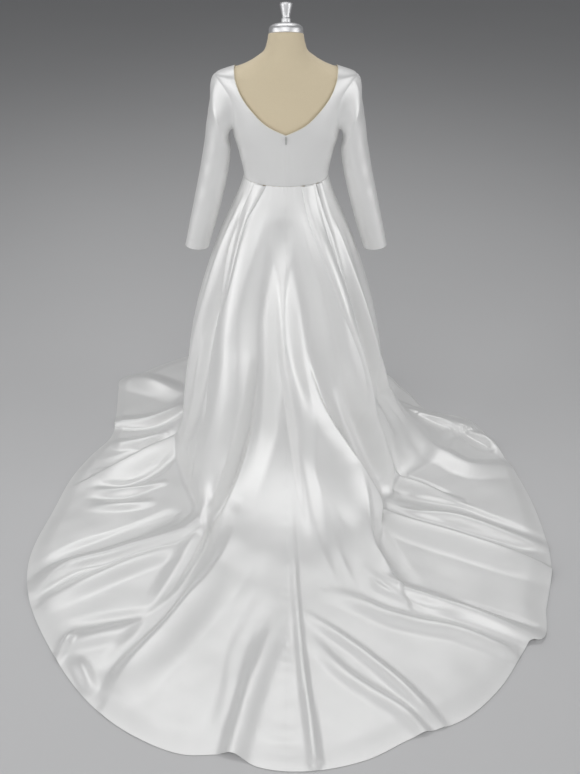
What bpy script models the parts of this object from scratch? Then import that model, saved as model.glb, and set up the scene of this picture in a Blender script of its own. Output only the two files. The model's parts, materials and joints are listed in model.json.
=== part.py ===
"""A white satin wedding dress on a limbless dress form. The dress has long sleeves, a V back, a waist
seam, pleats either side of the back seam and a long round train that lies on the floor. Units are metres,
+Z is up, the back of the dress faces -Y, and the origin is on the floor under the middle of the stand."""

import math

import bpy
import numpy as np

# Cloth and seams
WALL = 0.002
SEAM = 0.0003
WAIST_Z = 1.04
ARMPIT_Z = 1.18
SHOULDER_Z = 1.345

# The body that the bodice follows, as flattened rings: height, half width, depth behind, depth in front
BODY_HEIGHT, BODY_HALF_WIDTH, BODY_BACK, BODY_FRONT = range(4)
BODY = np.array(
    [
        (0.780, 0.150, 0.112, 0.106),
        (0.860, 0.160, 0.122, 0.112),
        (0.930, 0.152, 0.112, 0.106),
        (1.000, 0.133, 0.096, 0.097),
        (1.040, 0.126, 0.092, 0.095),
        (1.080, 0.131, 0.095, 0.099),
        (1.130, 0.143, 0.103, 0.109),
        (1.170, 0.154, 0.110, 0.121),
        (1.200, 0.160, 0.113, 0.127),
        (1.240, 0.169, 0.112, 0.127),
        (1.280, 0.181, 0.106, 0.117),
        (1.315, 0.195, 0.094, 0.099),
        (1.332, 0.200, 0.084, 0.086),
        (1.345, 0.197, 0.076, 0.075),
        (1.355, 0.170, 0.071, 0.067),
        (1.364, 0.140, 0.068, 0.062),
        (1.375, 0.112, 0.065, 0.057),
        (1.388, 0.086, 0.062, 0.053),
        (1.403, 0.0645, 0.058, 0.050),
        (1.430, 0.0530, 0.052, 0.047),
        (1.451, 0.0490, 0.048, 0.045),
    ]
)

# Necklines from the V point to the strap: distance from the middle, height
BACK_NECK = ((0.0, 1.200), (0.056, 1.226), (0.097, 1.262), (0.125, 1.297), (0.141, 1.332), (0.1475, 1.3618))
FRONT_NECK = ((0.0, 1.236), (0.050, 1.243), (0.096, 1.270), (0.126, 1.308), (0.141, 1.342), (0.1475, 1.3618))

# The armhole from the armpit to the shoulder: degrees round the body from its middle, height
ARMHOLE = ((90, 1.180), (74, 1.192), (63, 1.222), (58, 1.262), (60, 1.302), (71, 1.331), (90, 1.345))

# Points shared by an armhole's edge and its sleeve's head, from the armpit at 0 to the shoulder at 1
ARMHOLE_STEPS = 1 - (1 - np.linspace(0, 1, 12)) ** 1.35

# The hanging sleeve: outer edge x and z, inner edge x and z, half depth behind, half depth in front
SLEEVE = np.array(
    [
        (0.209, 1.318, 0.172, 1.172, 0.064, 0.064),
        (0.217, 1.276, 0.167, 1.150, 0.064, 0.065),
        (0.228, 1.215, 0.163, 1.122, 0.060, 0.063),
        (0.242, 1.130, 0.167, 1.084, 0.055, 0.060),
        (0.259, 1.048, 0.178, 1.028, 0.049, 0.056),
        (0.278, 0.965, 0.196, 0.955, 0.043, 0.052),
        (0.297, 0.885, 0.218, 0.878, 0.038, 0.048),
        (0.315, 0.806, 0.243, 0.799, 0.033, 0.044),
    ]
)

# The hanging skirt, as rings: height, half width, depth behind, depth in front
HANG = np.array(
    [
        (0.330, 0.333, 0.342, 0.266),
        (0.420, 0.319, 0.318, 0.246),
        (0.560, 0.289, 0.276, 0.214),
        (0.700, 0.250, 0.228, 0.180),
        (0.850, 0.200, 0.172, 0.142),
        (0.970, 0.150, 0.116, 0.112),
        (1.0397, 0.126, 0.092, 0.095),
    ]
)

# Where the skirt meets the floor: bearing in degrees from the back, radius, pull down, pull in
LAND = np.array(
    [
        (-180, 0.45, 0.17, 0.45),
        (-150, 0.46, 0.17, 0.45),
        (-120, 0.44, 0.17, 0.45),
        (-90, 0.40, 0.17, 0.45),
        (-62, 0.41, 0.17, 0.45),
        (-42, 0.47, 0.16, 0.43),
        (-26, 0.60, 0.16, 0.42),
        (-10, 0.70, 0.17, 0.43),
        (6, 0.74, 0.17, 0.44),
        (22, 0.66, 0.16, 0.42),
        (40, 0.50, 0.16, 0.42),
        (62, 0.43, 0.15, 0.40),
        (82, 0.53, 0.07, 0.20),
        (95, 0.60, 0.05, 0.15),
        (108, 0.57, 0.07, 0.20),
        (130, 0.48, 0.15, 0.40),
        (155, 0.45, 0.17, 0.45),
        (180, 0.45, 0.17, 0.45),
    ]
)

# The hem of the train on the floor: bearing in degrees from the back, radius
HEM = np.array(
    [
        (-180, 0.62),
        (-165, 0.66),
        (-150, 0.73),
        (-138, 0.745),
        (-130, 0.758),
        (-123.5, 0.784),
        (-120, 0.752),
        (-114, 0.704),
        (-106, 0.66),
        (-96, 0.64),
        (-87, 0.69),
        (-78, 0.752),
        (-66, 0.843),
        (-54, 0.987),
        (-48, 1.044),
        (-36, 1.135),
        (-24, 1.236),
        (-18, 1.273),
        (-12, 1.293),
        (-6, 1.278),
        (-3, 1.305),
        (2, 1.316),
        (9, 1.298),
        (15, 1.26),
        (22, 1.25),
        (28, 1.212),
        (36, 1.15),
        (39, 1.141),
        (45, 1.085),
        (54, 1.013),
        (63, 0.93),
        (72, 0.86),
        (84, 0.786),
        (94, 0.74),
        (102, 0.717),
        (107, 0.68),
        (111, 0.598),
        (115, 0.576),
        (126, 0.59),
        (135, 0.6),
        (150, 0.58),
        (180, 0.62),
    ]
)

# Pleats: fold edge in degrees at five places down the skirt, side of the under layer, depth at the waist
# and depth below it
PLEAT_DOWN = (0.0, 0.15, 0.45, 0.95, 1.6)
PLEATS = {
    "back_left": ((-44, -55, -57, -54, -52), -1, 0.020, 0.020),
    "back_right_inner": ((38, 37, 43, 49, 52), 1, 0.020, 0.020),
    "back_right_outer": ((54, 56, 61, 68, 72), 1, 0.008, 0.014),
    "front_left": ((222, 220, 220, 222, 224), -1, 0.018, 0.018),
    "front_right": ((138, 140, 140, 138, 136), 1, 0.018, 0.018),
}
PLEAT_HEIGHT = 0.0074

# Nine places across a pleat. Folded: shares of its depth, metres past its edge, shares of its height.
# Open: metres past its edge, shares of its height
FOLDED_DEPTH = np.array([-1, -1, 0, 0, 0, -1, -1, -1, 0])
FOLDED_ALONG = np.array([-0.0120, -0.0030, -0.0005, 0.0022, 0.0004, 0.0, -0.0020, 0.0, 0.0080])
FOLDED_OUT = np.array([0.35, 1.0, 1.0, 0.75, 0.53, 0.46, 0.23, 0.0, 0.0])
OPEN_ALONG = np.array([-0.045, -0.030, -0.017, -0.008, 0.0, 0.008, 0.017, 0.028, 0.042])
OPEN_OUT = np.array([0.05, 0.45, 0.9, 1.0, 0.9, 0.65, 0.35, 0.1, 0.0])

# Soft bands down the hanging skirt: bearing at the top, bearing at the foot, half width in degrees, height
BANDS = (
    (-15, -14, 9, -0.011),
    (-29, -25, 9, 0.014),
    (14, 13, 9, -0.011),
    (27, 27, 9, 0.014),
    (-76, -76, 10, -0.009),
    (80, 82, 12, -0.009),
    (-96, -98, 11, 0.010),
    (101, 101, 10, 0.008),
    (-120, -120, 11, -0.012),
    (120, 120, 11, -0.012),
    (-158, -158, 12, -0.012),
    (162, 162, 12, -0.012),
    (180, 180, 11, 0.012),
)

# Large folds of the train on the floor: line of x, y and height, then half width on its left and right
FOLDS = (
    (((-0.15, -0.34, 0.030), (-0.23, -0.52, 0.034), (-0.31, -0.72, 0.032), (-0.44, -1.03, 0.0)), 0.075, 0.090),
    (((-0.23, -0.31, 0.020), (-0.34, -0.44, 0.032), (-0.49, -0.535, 0.030), (-0.74, -0.67, 0.014)), 0.060, 0.060),
    (((-0.37, 0.00, 0.015), (-0.53, -0.08, 0.030), (-0.63, -0.17, 0.020)), 0.055, 0.060),
    (((-0.40, 0.20, 0.020), (-0.56, 0.27, 0.032), (-0.70, 0.34, 0.020)), 0.070, 0.070),
    (((0.16, -0.32, 0.022), (0.23, -0.40, 0.034), (0.27, -0.53, 0.032), (0.31, -0.68, 0.0)), 0.050, 0.100),
    (((0.30, -0.67, 0.022), (0.48, -0.755, 0.030), (0.73, -0.87, 0.016)), 0.060, 0.055),
    (((0.31, -0.36, 0.018), (0.54, -0.47, 0.034), (0.79, -0.59, 0.018)), 0.060, 0.060),
    (((0.33, -0.15, 0.018), (0.47, -0.235, 0.032), (0.66, -0.34, 0.0)), 0.055, 0.060),
    (((0.61, 0.02, 0.020), (0.69, -0.02, 0.030), (0.76, -0.10, 0.012)), 0.060, 0.060),
    (((0.08, -0.82, 0.004), (0.24, -1.00, 0.015), (0.41, -1.19, 0.010)), 0.070, 0.070),
    (((-0.04, -0.72, 0.006), (-0.10, -0.95, 0.015), (-0.17, -1.27, 0.012)), 0.060, 0.070),
    (((-0.42, -0.80, 0.008), (-0.62, -0.86, 0.018), (-0.67, -0.88, 0.014)), 0.060, 0.070),
)

# Rings down the skirt: 0 to 1 hangs, 1 to 2 curves out to the floor, 2 to 3 lies on it
SKIRT_ROWS = (0, 0.10, 0.22, 0.36, 0.50, 0.65, 0.82, 1.0, 1.22, 1.41, 1.58, 1.74, 1.88, 2.0)
TRAIN_STEPS = 8
SIDE_SEAM_LEFT = -100
SIDE_SEAM_RIGHT = 100
COLUMN_STEP_BACK = 3.6
COLUMN_STEP_FRONT = 9.0

# Dress form, stand and zip
FORM_CLEARANCE = 0.005
FORM_AT_SHOULDER = 0.0035
FORM_FOOT_Z = 0.78
NECK_TILT = math.radians(20)
POLE_RADIUS = 0.0125
ZIP_TOP_Z = 1.197
SLIDER_WIDTH, SLIDER_HEIGHT, SLIDER_DEPTH = 0.0058, 0.0090, 0.0022
PIN_RADIUS, EYE_RADIUS, EYE_HOLE = 0.0005, 0.0014, 0.00075
PIN_STANDS_OFF = 0.0018
EAR_X, EAR_WIDTH = 0.0022, 0.0008
TAB_WIDTH, TAB_LENGTH, TAB_THICK = 0.0046, 0.0165, 0.0010

# Turned pieces: radius and height from the foot up
CAP_PROFILE = (
    (0, 0),
    (0.0470, 0),
    (0.0478, 0.002),
    (0.0478, 0.013),
    (0.0455, 0.0185),
    (0.038, 0.0240),
    (0.026, 0.0275),
    (0.0145, 0.0288),
    (0, 0.0288),
)
FINIAL_PROFILE = (
    (0, 0),
    (0.0135, 0),
    (0.0140, 0.0015),
    (0.0140, 0.010),
    (0.0125, 0.0115),
    (0.0112, 0.013),
    (0.0112, 0.018),
    (0.0128, 0.026),
    (0.0172, 0.045),
    (0.0178, 0.049),
    (0.0165, 0.052),
    (0, 0.053),
)
BASE_PROFILE = (
    (0, 0),
    (0.172, 0),
    (0.175, 0.003),
    (0.175, 0.010),
    (0.171, 0.014),
    (0.030, 0.018),
    (0.022, 0.022),
    (0.022, 0.045),
    (0, 0.045),
)

# Heights of the dress form's rings
FORM_HEIGHTS = (0.782, 0.80, 0.86, 0.93, 1.0, 1.04, 1.10, 1.16, 1.21, 1.25, 1.285, 1.31, 1.325, 1.336, 1.345)
NECK_HEIGHTS = (1.352, 1.359, 1.367, 1.378, 1.39, 1.405, 1.43, 1.451)

# Colours
SATIN = (0.93, 0.93, 0.925, 1)
LINEN = (0.66, 0.58, 0.42, 1)
STEEL = (0.62, 0.63, 0.65, 1)
BLACK_STEEL = (0.05, 0.05, 0.055, 1)


def clear_scene():
    for obj in list(bpy.data.objects):
        bpy.data.objects.remove(obj)


def material(name, colour, roughness, metallic=0.0):
    made = bpy.data.materials.new(name)
    made.use_nodes = True
    shader = made.node_tree.nodes["Principled BSDF"]
    shader.inputs["Base Color"].default_value = colour
    shader.inputs["Roughness"].default_value = roughness
    shader.inputs["Metallic"].default_value = metallic
    return made


def smooth(xs, ys, at):
    """A smooth curve through the points of a table."""
    xs = np.asarray(xs, float)
    ys = np.asarray(ys, float)
    slope = np.diff(ys) / np.diff(xs)
    lean = np.concatenate([slope[:1], (slope[:-1] + slope[1:]) / 2, slope[-1:]])
    at = np.clip(np.asarray(at, float), xs[0], xs[-1])
    i = np.clip(np.searchsorted(xs, at) - 1, 0, len(xs) - 2)
    step = xs[i + 1] - xs[i]
    s = (at - xs[i]) / step
    return (
        (2 * s**3 - 3 * s**2 + 1) * ys[i]
        + (s**3 - 2 * s**2 + s) * step * lean[i]
        + (3 * s**2 - 2 * s**3) * ys[i + 1]
        + (s**3 - s**2) * step * lean[i + 1]
    )


def ease(low, high, at):
    s = np.clip((np.asarray(at, float) - low) / (high - low), 0, 1)
    return s * s * (3 - 2 * s)


def unit(vectors):
    return vectors / np.maximum(np.linalg.norm(vectors, axis=-1, keepdims=True), 1e-12)


def grid_normals(points, closed=False):
    """Directions square to a grid of points, from its own rows and columns."""
    if closed:
        across = np.roll(points, -1, axis=1) - np.roll(points, 1, axis=1)
    else:
        across = np.gradient(points, axis=1)
    down = np.gradient(points, axis=0)
    return unit(np.cross(across, down))


def corner_normals(points):
    """Directions square to a grid of points, each the mean of the faces that meet there."""
    total = np.zeros_like(points)
    rows, columns = points.shape[:2]
    for r, c in ((0, 0), (0, 1), (1, 0), (1, 1)):
        here = (slice(r, rows - 1 + r), slice(c, columns - 1 + c))
        beside = (here[0], slice(1 - c, columns - c))
        below = (slice(1 - r, rows - r), here[1])
        across = unit((points[beside] - points[here]) * (1 - 2 * c))
        down = unit((points[below] - points[here]) * (1 - 2 * r))
        turned = np.cross(down, across)
        sine = np.linalg.norm(turned, axis=-1, keepdims=True)
        cosine = (across * down).sum(axis=-1, keepdims=True) * (1 - 2 * c) * (1 - 2 * r)
        total[here] += unit(turned) * np.arctan2(sine, cosine)
    return unit(total)


def grid_faces(rows, columns, closed=False, start=0):
    faces = []
    for r in range(rows - 1):
        for c in range(columns if closed else columns - 1):
            d = (c + 1) % columns
            corners = (r * columns + c, (r + 1) * columns + c, (r + 1) * columns + d, r * columns + d)
            faces.append(tuple(start + corner for corner in corners))
    return faces


def two_triangles(points, face):
    """A four-sided face split along its shorter diagonal, the same way on both sides of the wall."""
    a, b, c, d = face
    if np.linalg.norm(points[a] - points[c]) <= np.linalg.norm(points[b] - points[d]):
        return [(a, b, c), (a, c, d)]
    return [(a, b, d), (b, c, d)]


def wall(name, points, normals, faces, skin):
    """A closed sheet of cloth, half a wall to each side of the points, with a rim round every free edge."""
    points = points.reshape(-1, 3)
    normals = normals.reshape(-1, 3)
    count = len(points)
    both = np.concatenate([points + normals * WALL / 2, points - normals * WALL / 2])
    uses = {}
    for face in faces:
        for a, b in zip(face, face[1:] + face[:1]):
            uses.setdefault(frozenset((a, b)), []).append((a, b))
    shell = [corners for face in faces for corners in two_triangles(points, face)]
    shell += [tuple(count + corner for corner in reversed(corners)) for corners in shell]
    for pairs in uses.values():
        if len(pairs) > 1:
            continue
        a, b = pairs[0]
        if a < b:
            shell += [(b, a, count + b), (a, count + a, count + b)]
        else:
            shell += [(b, a, count + a), (b, count + a, count + b)]
    return solid(name, both, shell, skin)


def solid(name, points, faces, skin):
    mesh = bpy.data.meshes.new(name)
    mesh.from_pydata([tuple(map(float, point)) for point in points], [], faces)
    mesh.materials.append(skin)
    mesh.update()
    obj = bpy.data.objects.new(name, mesh)
    bpy.context.scene.collection.objects.link(obj)
    return obj


def lathe(name, profile, sides, skin, origin=(0, 0, 0), tilt=0.0):
    """A solid turned from a profile of radius and height, about an axis that tilts towards the front."""
    points = []
    for radius, height in profile[1:-1]:
        for k in range(sides):
            turn = 2 * math.pi * k / sides
            points.append((radius * math.cos(turn), radius * math.sin(turn), height))
    faces = grid_faces(len(profile) - 2, sides, closed=True)
    faces = [tuple(reversed(face)) for face in faces]
    foot = len(points)
    points.append((0, 0, profile[0][1]))
    points.append((0, 0, profile[-1][1]))
    last = (len(profile) - 3) * sides
    for k in range(sides):
        n = (k + 1) % sides
        faces.append((n, k, foot))
        faces.append((last + k, last + n, foot + 1))
    points = np.array(points)
    cos, sin = math.cos(tilt), math.sin(tilt)
    x, y, z = points.T
    turned = np.stack([x, y * cos + z * sin, z * cos - y * sin], axis=1)
    return solid(name, turned + np.array(origin), faces, skin)


def body_point(turn, height, front):
    """A point on the bodice: turn is measured from the middle of its panel, in radians."""
    half = smooth(BODY[:, BODY_HEIGHT], BODY[:, BODY_HALF_WIDTH], height)
    depth = smooth(BODY[:, BODY_HEIGHT], BODY[:, BODY_FRONT if front else BODY_BACK], height)
    y = depth * np.cos(turn) * (1 if front else -1)
    return np.stack([half * np.sin(turn), y, height + 0 * turn], axis=-1)


def body_normal(turn, height, front):
    step = 1e-4
    across = body_point(turn + step, height, front) - body_point(turn - step, height, front)
    up = body_point(turn, height + step, front) - body_point(turn, height - step, front)
    return unit(np.cross(across, up) * (-1 if front else 1))


def neck_at(neckline, share):
    """Turn and height on a neckline, from the V point at 0 to the strap at 1."""
    distances, heights = np.array(neckline).T
    along = np.linspace(0, 1, len(distances))
    height = smooth(along, heights, share)
    half = smooth(BODY[:, BODY_HEIGHT], BODY[:, BODY_HALF_WIDTH], height)
    turn = np.arcsin(np.clip(smooth(along, distances, share) / half, 0, 1))
    return np.where(share >= 1, math.pi / 2, turn), height


def armhole_at(share):
    """Turn and height on the armhole, from the armpit at 0 to the shoulder at 1."""
    turns, heights = np.array(ARMHOLE).T
    along = np.linspace(0, 1, len(turns))
    return np.radians(smooth(along, turns, share)), smooth(along, heights, share)


def bodice_half(neckline, front):
    """The right half of a bodice panel as grids of points and normals, from its waist up to its shoulder."""
    lower = np.linspace(0, 1, 6)
    upper = ARMHOLE_STEPS[1:]
    columns = np.linspace(0, 1, 11)
    v_point = neckline[0][1]
    neck_turn, neck_height = neck_at(neckline, upper)
    left_turn = np.concatenate([0 * lower, neck_turn])
    left_height = np.concatenate([WAIST_Z + (v_point - WAIST_Z) * lower, neck_height])
    hole_turn, hole_height = armhole_at(upper)
    right_turn = np.concatenate([0 * lower + math.pi / 2, hole_turn])
    right_height = np.concatenate([WAIST_Z + (ARMPIT_Z - WAIST_Z) * lower, hole_height])
    turn = left_turn[:, None] + (right_turn - left_turn)[:, None] * columns
    level = np.concatenate([lower, 1 - upper])[:, None] * (columns - columns**2)
    height = left_height[:, None] + (right_height - left_height)[:, None] * (columns + level)
    points = body_point(turn, height, front)
    normals = body_normal(turn, height, front)
    normals[0, :, 2] = 0
    below = len(lower)
    normals[:below, -1, 1] = 0
    normals[-1, :, 1] = 0
    back = 1 if front else -1
    points[:below, -1, 1] = back * SEAM / 2
    points[-1, :, 1] = back * SEAM / 2
    return points, unit(normals), below


def bodice_back(name, side, skin):
    points, normals, below = bodice_half(BACK_NECK, front=False)
    normals[:below, 0, 0] = 0
    normals = unit(normals)
    points[:below, 0, 0] = SEAM / 2
    rows, columns = points.shape[:2]
    faces = [tuple(reversed(face)) for face in grid_faces(rows, columns)]
    if side < 0:
        points = points * (-1, 1, 1)
        normals = normals * (-1, 1, 1)
        faces = [tuple(reversed(face)) for face in faces]
    return wall(name, points, normals, faces, skin)


def bodice_front(name, skin):
    """Both halves in one piece, sharing the points down the middle of the front."""
    points, normals, below = bodice_half(FRONT_NECK, front=True)
    normals[:below, 0, 0] = 0
    normals = unit(normals)
    rows, columns = points.shape[:2]
    count = rows * columns
    both = np.concatenate([points.reshape(-1, 3), points.reshape(-1, 3) * (-1, 1, 1)])
    square = np.concatenate([normals.reshape(-1, 3), normals.reshape(-1, 3) * (-1, 1, 1)])
    faces = grid_faces(rows, columns)
    mirrored = [tuple(reversed(face)) for face in grid_faces(rows, columns, start=count)]
    shared = {count + r * columns: r * columns for r in range(below)}
    mirrored = [tuple(shared.get(corner, corner) for corner in face) for face in mirrored]
    faces = faces + mirrored
    kept = sorted({corner for face in faces for corner in face})
    order = {corner: i for i, corner in enumerate(kept)}
    faces = [tuple(order[corner] for corner in face) for face in faces]
    return wall(name, both[kept], square[kept], faces, skin)


def sleeve(name, side, skin):
    """A set-in sleeve: its head follows the armhole a seam away, then flattened rings lead to the cuff."""
    share = np.concatenate([ARMHOLE_STEPS[::-1], ARMHOLE_STEPS[1:-1]])
    angles = np.pi * np.concatenate([1 - ARMHOLE_STEPS[::-1], 1 + ARMHOLE_STEPS[1:-1]])
    around = len(share)
    armpit = len(ARMHOLE_STEPS) - 1
    turn, height = armhole_at(share)
    head = np.empty((around, 3))
    head_normal = np.empty((around, 3))
    away = np.empty((around, 3))
    for front in (False, True):
        chosen = (np.arange(around) > armpit) == front
        normal = body_normal(turn, height, front)
        nearer = armhole_at(np.clip(share - 0.01, 0, 1))
        further = armhole_at(np.clip(share + 0.01, 0, 1))
        along = body_point(*further, front) - body_point(*nearer, front)
        outward = unit(np.cross(along, normal) * (1 if front else -1))
        head[chosen] = body_point(turn, height, front)[chosen]
        head_normal[chosen] = normal[chosen]
        away[chosen] = outward[chosen]
    for k in (0, armpit):
        head_normal[k, 1] = 0
        away[k, 1] = 0
        head[k, 1] = 0
    head_normal = unit(head_normal)
    away = unit(away)
    hole_middle = np.array([0.185, 0, (ARMPIT_Z + SHOULDER_Z) / 2])
    away = away * np.sign((away * (hole_middle - head)).sum(axis=1, keepdims=True))
    under = (1 - ease(0.0, 0.4, share))[:, None]
    lead = unit(away * (1 - under) + np.array([1, 0, -0.25]) * under)
    head = head + away * (2.6 * SEAM + 1.2 * WALL / 2 * under)
    head_normal = np.cross(lead, np.cross(head_normal, lead))
    head_normal = unit(head_normal * (1 - under) + np.array([-0.25, 0, -1]) * under)
    rings = [head, head + lead * 0.010]
    places = np.linspace(0, 1, 12) * (len(SLEEVE) - 1)
    index = np.arange(len(SLEEVE))
    for place in places:
        sizes = [float(smooth(index, SLEEVE[:, k], place)) for k in range(6)]
        x_out, z_out, x_in, z_in, behind, before = sizes
        middle = np.array([(x_out + x_in) / 2, 0.010 * place / 7, (z_out + z_in) / 2])
        across = np.array([(x_out - x_in) / 2, 0, (z_out - z_in) / 2])
        depth = np.where(np.arange(around) <= armpit, behind, before)
        ring = middle + np.cos(angles)[:, None] * across
        ring[:, 1] -= np.sin(angles) * depth
        rings.append(ring)
    points = np.array(rings)
    points[2] = 0.6 * points[2] + 0.4 * (head + lead * 0.025)
    normals = grid_normals(points, closed=True)
    normals[0] = head_normal
    normals[-1, :, 2] = 0
    normals = unit(normals)
    rows = len(points)
    faces = grid_faces(rows, around, closed=True)
    if side < 0:
        points = points * (-1, 1, 1)
        normals = normals * (-1, 1, 1)
    else:
        faces = [tuple(reversed(face)) for face in faces]
    return wall(name, points, normals, faces, skin)


def hang_point(bearing, height):
    half, behind, before = (smooth(HANG[:, 0], HANG[:, k], height) for k in (1, 2, 3))
    depth = np.where(np.cos(bearing) > 0, behind, before)
    return np.stack([half * np.sin(bearing), -depth * np.cos(bearing), height + 0 * bearing], axis=-1)


def skirt_base(bearing, down):
    """The skirt without folds: bearing in degrees from the back, down from 0 at the waist to 3 at the hem."""
    bearing = (np.asarray(bearing, float) + 180) % 360 - 180
    turn = np.radians(bearing)
    top, foot = HANG[-1, 0], HANG[0, 0]
    hanging = hang_point(turn, top + (foot - top) * np.clip(down, 0, 1))
    edge = hang_point(turn, foot + 0 * turn)
    slope = unit(edge - hang_point(turn, foot + 0.03 + 0 * turn))
    out = np.stack([np.sin(turn), -np.cos(turn), 0 * turn], axis=-1)
    rest = np.array([0, 0, WALL / 2])
    radius, pull_down, pull_in = (smooth(LAND[:, 0], LAND[:, k], bearing)[..., None] for k in (1, 2, 3))
    landing = radius * out + rest
    hem = smooth(HEM[:, 0], HEM[:, 1], bearing)[..., None] * out + rest
    flat_edge = edge * (1, 1, 0) + rest
    first = edge + slope * pull_down
    second = landing + (flat_edge - landing) * pull_in
    s = np.clip(down - 1, 0, 1)[..., None]
    curve = (1 - s) ** 3 * edge + 3 * (1 - s) ** 2 * s * first + 3 * (1 - s) * s**2 * second + s**3 * landing
    lying = landing + (hem - landing) * np.clip(down - 2, 0, 1)[..., None]
    down = np.asarray(down)[..., None]
    return np.where(down <= 1, hanging, np.where(down <= 2, curve, lying))


def base_normal(bearing, down):
    across = skirt_base(bearing + 0.05, down) - skirt_base(bearing - 0.05, down)
    low, high = np.clip(down - 0.01, 0, 3), np.clip(down + 0.01, 0, 3)
    along = skirt_base(bearing, high) - skirt_base(bearing, low)
    return unit(np.cross(along, across))


def bump(distance):
    return np.clip(1 - distance**2, 0, 1) ** 2


def fold_height(points, line, left, right):
    """How far one fold of the train stands up at each point, by its distance from the fold's line."""
    height = np.zeros(points.shape[:-1])
    for (x0, y0, h0), (x1, y1, h1) in zip(line, line[1:]):
        step = np.array([x1 - x0, y1 - y0])
        offset = points[..., :2] - (x0, y0)
        along = np.clip((offset @ step) / (step @ step), 0, 1)
        apart = offset - along[..., None] * step
        distance = np.hypot(apart[..., 0], apart[..., 1])
        on_left = step[0] * apart[..., 1] - step[1] * apart[..., 0] > 0
        share = bump(distance / np.where(on_left, left, right))
        height = np.maximum(height, (h0 + (h1 - h0) * along) * share)
    return height


def band_height(bearing, down):
    """How far the soft bands down the hanging skirt stand out."""
    total = 0 * (bearing + down)
    for top, foot, width, height in BANDS:
        middle = top + (foot - top) * np.clip(down / 1.6, 0, 1)
        apart = np.abs((bearing - middle + 180) % 360 - 180)
        total = total + height * bump(apart / width)
    return total * ease(0.02, 0.45, down) * (1 - ease(1.35, 2.0, down))


def skirt_surface(bearing, down):
    """The skirt with its bands and with the large folds of its train, which rise up from the floor."""
    base = skirt_base(bearing, down)
    square = base_normal(bearing, down)
    upright = ease(1.3, 1.74, down)[..., None]
    upward = unit(square * (1 - upright) + np.array([0, 0, 1]) * upright)
    risen = sum(fold_height(base, line, left, right) for line, left, right in FOLDS) * ease(1.25, 1.9, down)
    moved = base + square * band_height(bearing, down)[..., None] + upward * risen[..., None]
    moved[..., 2] = np.maximum(moved[..., 2], WALL / 2)
    return moved


def surface_normal(bearing, down):
    across = skirt_surface(bearing + 0.2, down) - skirt_surface(bearing - 0.2, down)
    low, high = np.clip(down - 0.02, 0, 3), np.clip(down + 0.02, 0, 3)
    along = skirt_surface(bearing, high) - skirt_surface(bearing, low)
    return unit(np.cross(along, across))


def pleat_columns(edges, side, depth_at_waist, depth, rows):
    """Nine columns across a pleat, which turns back under itself at its edge and opens lower down."""
    along, out = [], []
    for down in rows:
        opened = ease(0.8, 1.3, down)
        deep = depth_at_waist + (depth - depth_at_waist) * ease(0.0, 0.3, down)
        folded = FOLDED_ALONG + FOLDED_DEPTH * deep * (1 - ease(0.45, 0.8, down))
        faded = 1 - ease(1.2, 1.9, down)
        along.append(side * (folded * (1 - opened) + OPEN_ALONG * opened))
        out.append((FOLDED_OUT * (1 - opened) + OPEN_OUT * opened) * PLEAT_HEIGHT * faded)
    bearing = smooth(PLEAT_DOWN, edges, rows)
    return bearing, np.array(along), np.array(out)


def skirt_panel(name, first, last, step, pleats, skin):
    """A skirt panel between two seams, with its pleats folded in, as one wall of cloth."""
    rows = np.array(SKIRT_ROWS + tuple(2 + k / TRAIN_STEPS for k in range(1, TRAIN_STEPS + 1)))
    spans = [PLEATS[pleat] for pleat in pleats]
    starts = np.full(len(rows), float(first))
    bearing_parts, out_parts = [], []
    ends = []
    for edges, side, depth_at_waist, depth in sorted(spans, key=lambda span: span[0][0]):
        bearing, along, out = pleat_columns(edges, side, depth_at_waist, depth, rows)
        reach = np.hypot(*np.moveaxis(skirt_base(bearing, rows)[:, :2], -1, 0))
        if side > 0:
            turned = bearing[:, None] + np.degrees(along / reach[:, None])
        else:
            turned = (bearing[:, None] + np.degrees(along / reach[:, None]))[:, ::-1]
            out = out[:, ::-1]
        ends.append((turned, out))
    for turned, out in ends + [(np.full((len(rows), 1), float(last)), np.zeros((len(rows), 1)))]:
        count = max(2, round(abs(np.median(turned[:, 0]) - np.median(starts)) / step))
        shares = np.arange(count) / count
        if len(bearing_parts):
            shares = shares[1:]
        bearing_parts.append(starts[:, None] + (turned[:, :1] - starts[:, None]) * shares)
        out_parts.append(np.zeros((len(rows), len(shares))))
        bearing_parts.append(turned)
        out_parts.append(out)
        starts = turned[:, -1]
    bearing = np.concatenate(bearing_parts, axis=1)
    out = np.concatenate(out_parts, axis=1)
    down = np.repeat(rows[:, None], bearing.shape[1], axis=1)
    points = skirt_surface(bearing, down)
    outward = base_normal(bearing, down)
    outward[0, :, 2] = 0
    points = points + unit(outward) * out[..., None]
    normals = corner_normals(points)
    for column, shift in ((0, 1), (-1, -1)):
        normals[:, column] = surface_normal(bearing[:, column], rows)
        along = np.gradient(points[:, column], axis=0)
        points[:, column] += unit(np.cross(normals[:, column], along)) * shift * SEAM / 2
    normals[0, :, 2] = 0
    normals = unit(normals)
    return wall(name, points, normals, grid_faces(*points.shape[:2]), skin)


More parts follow.
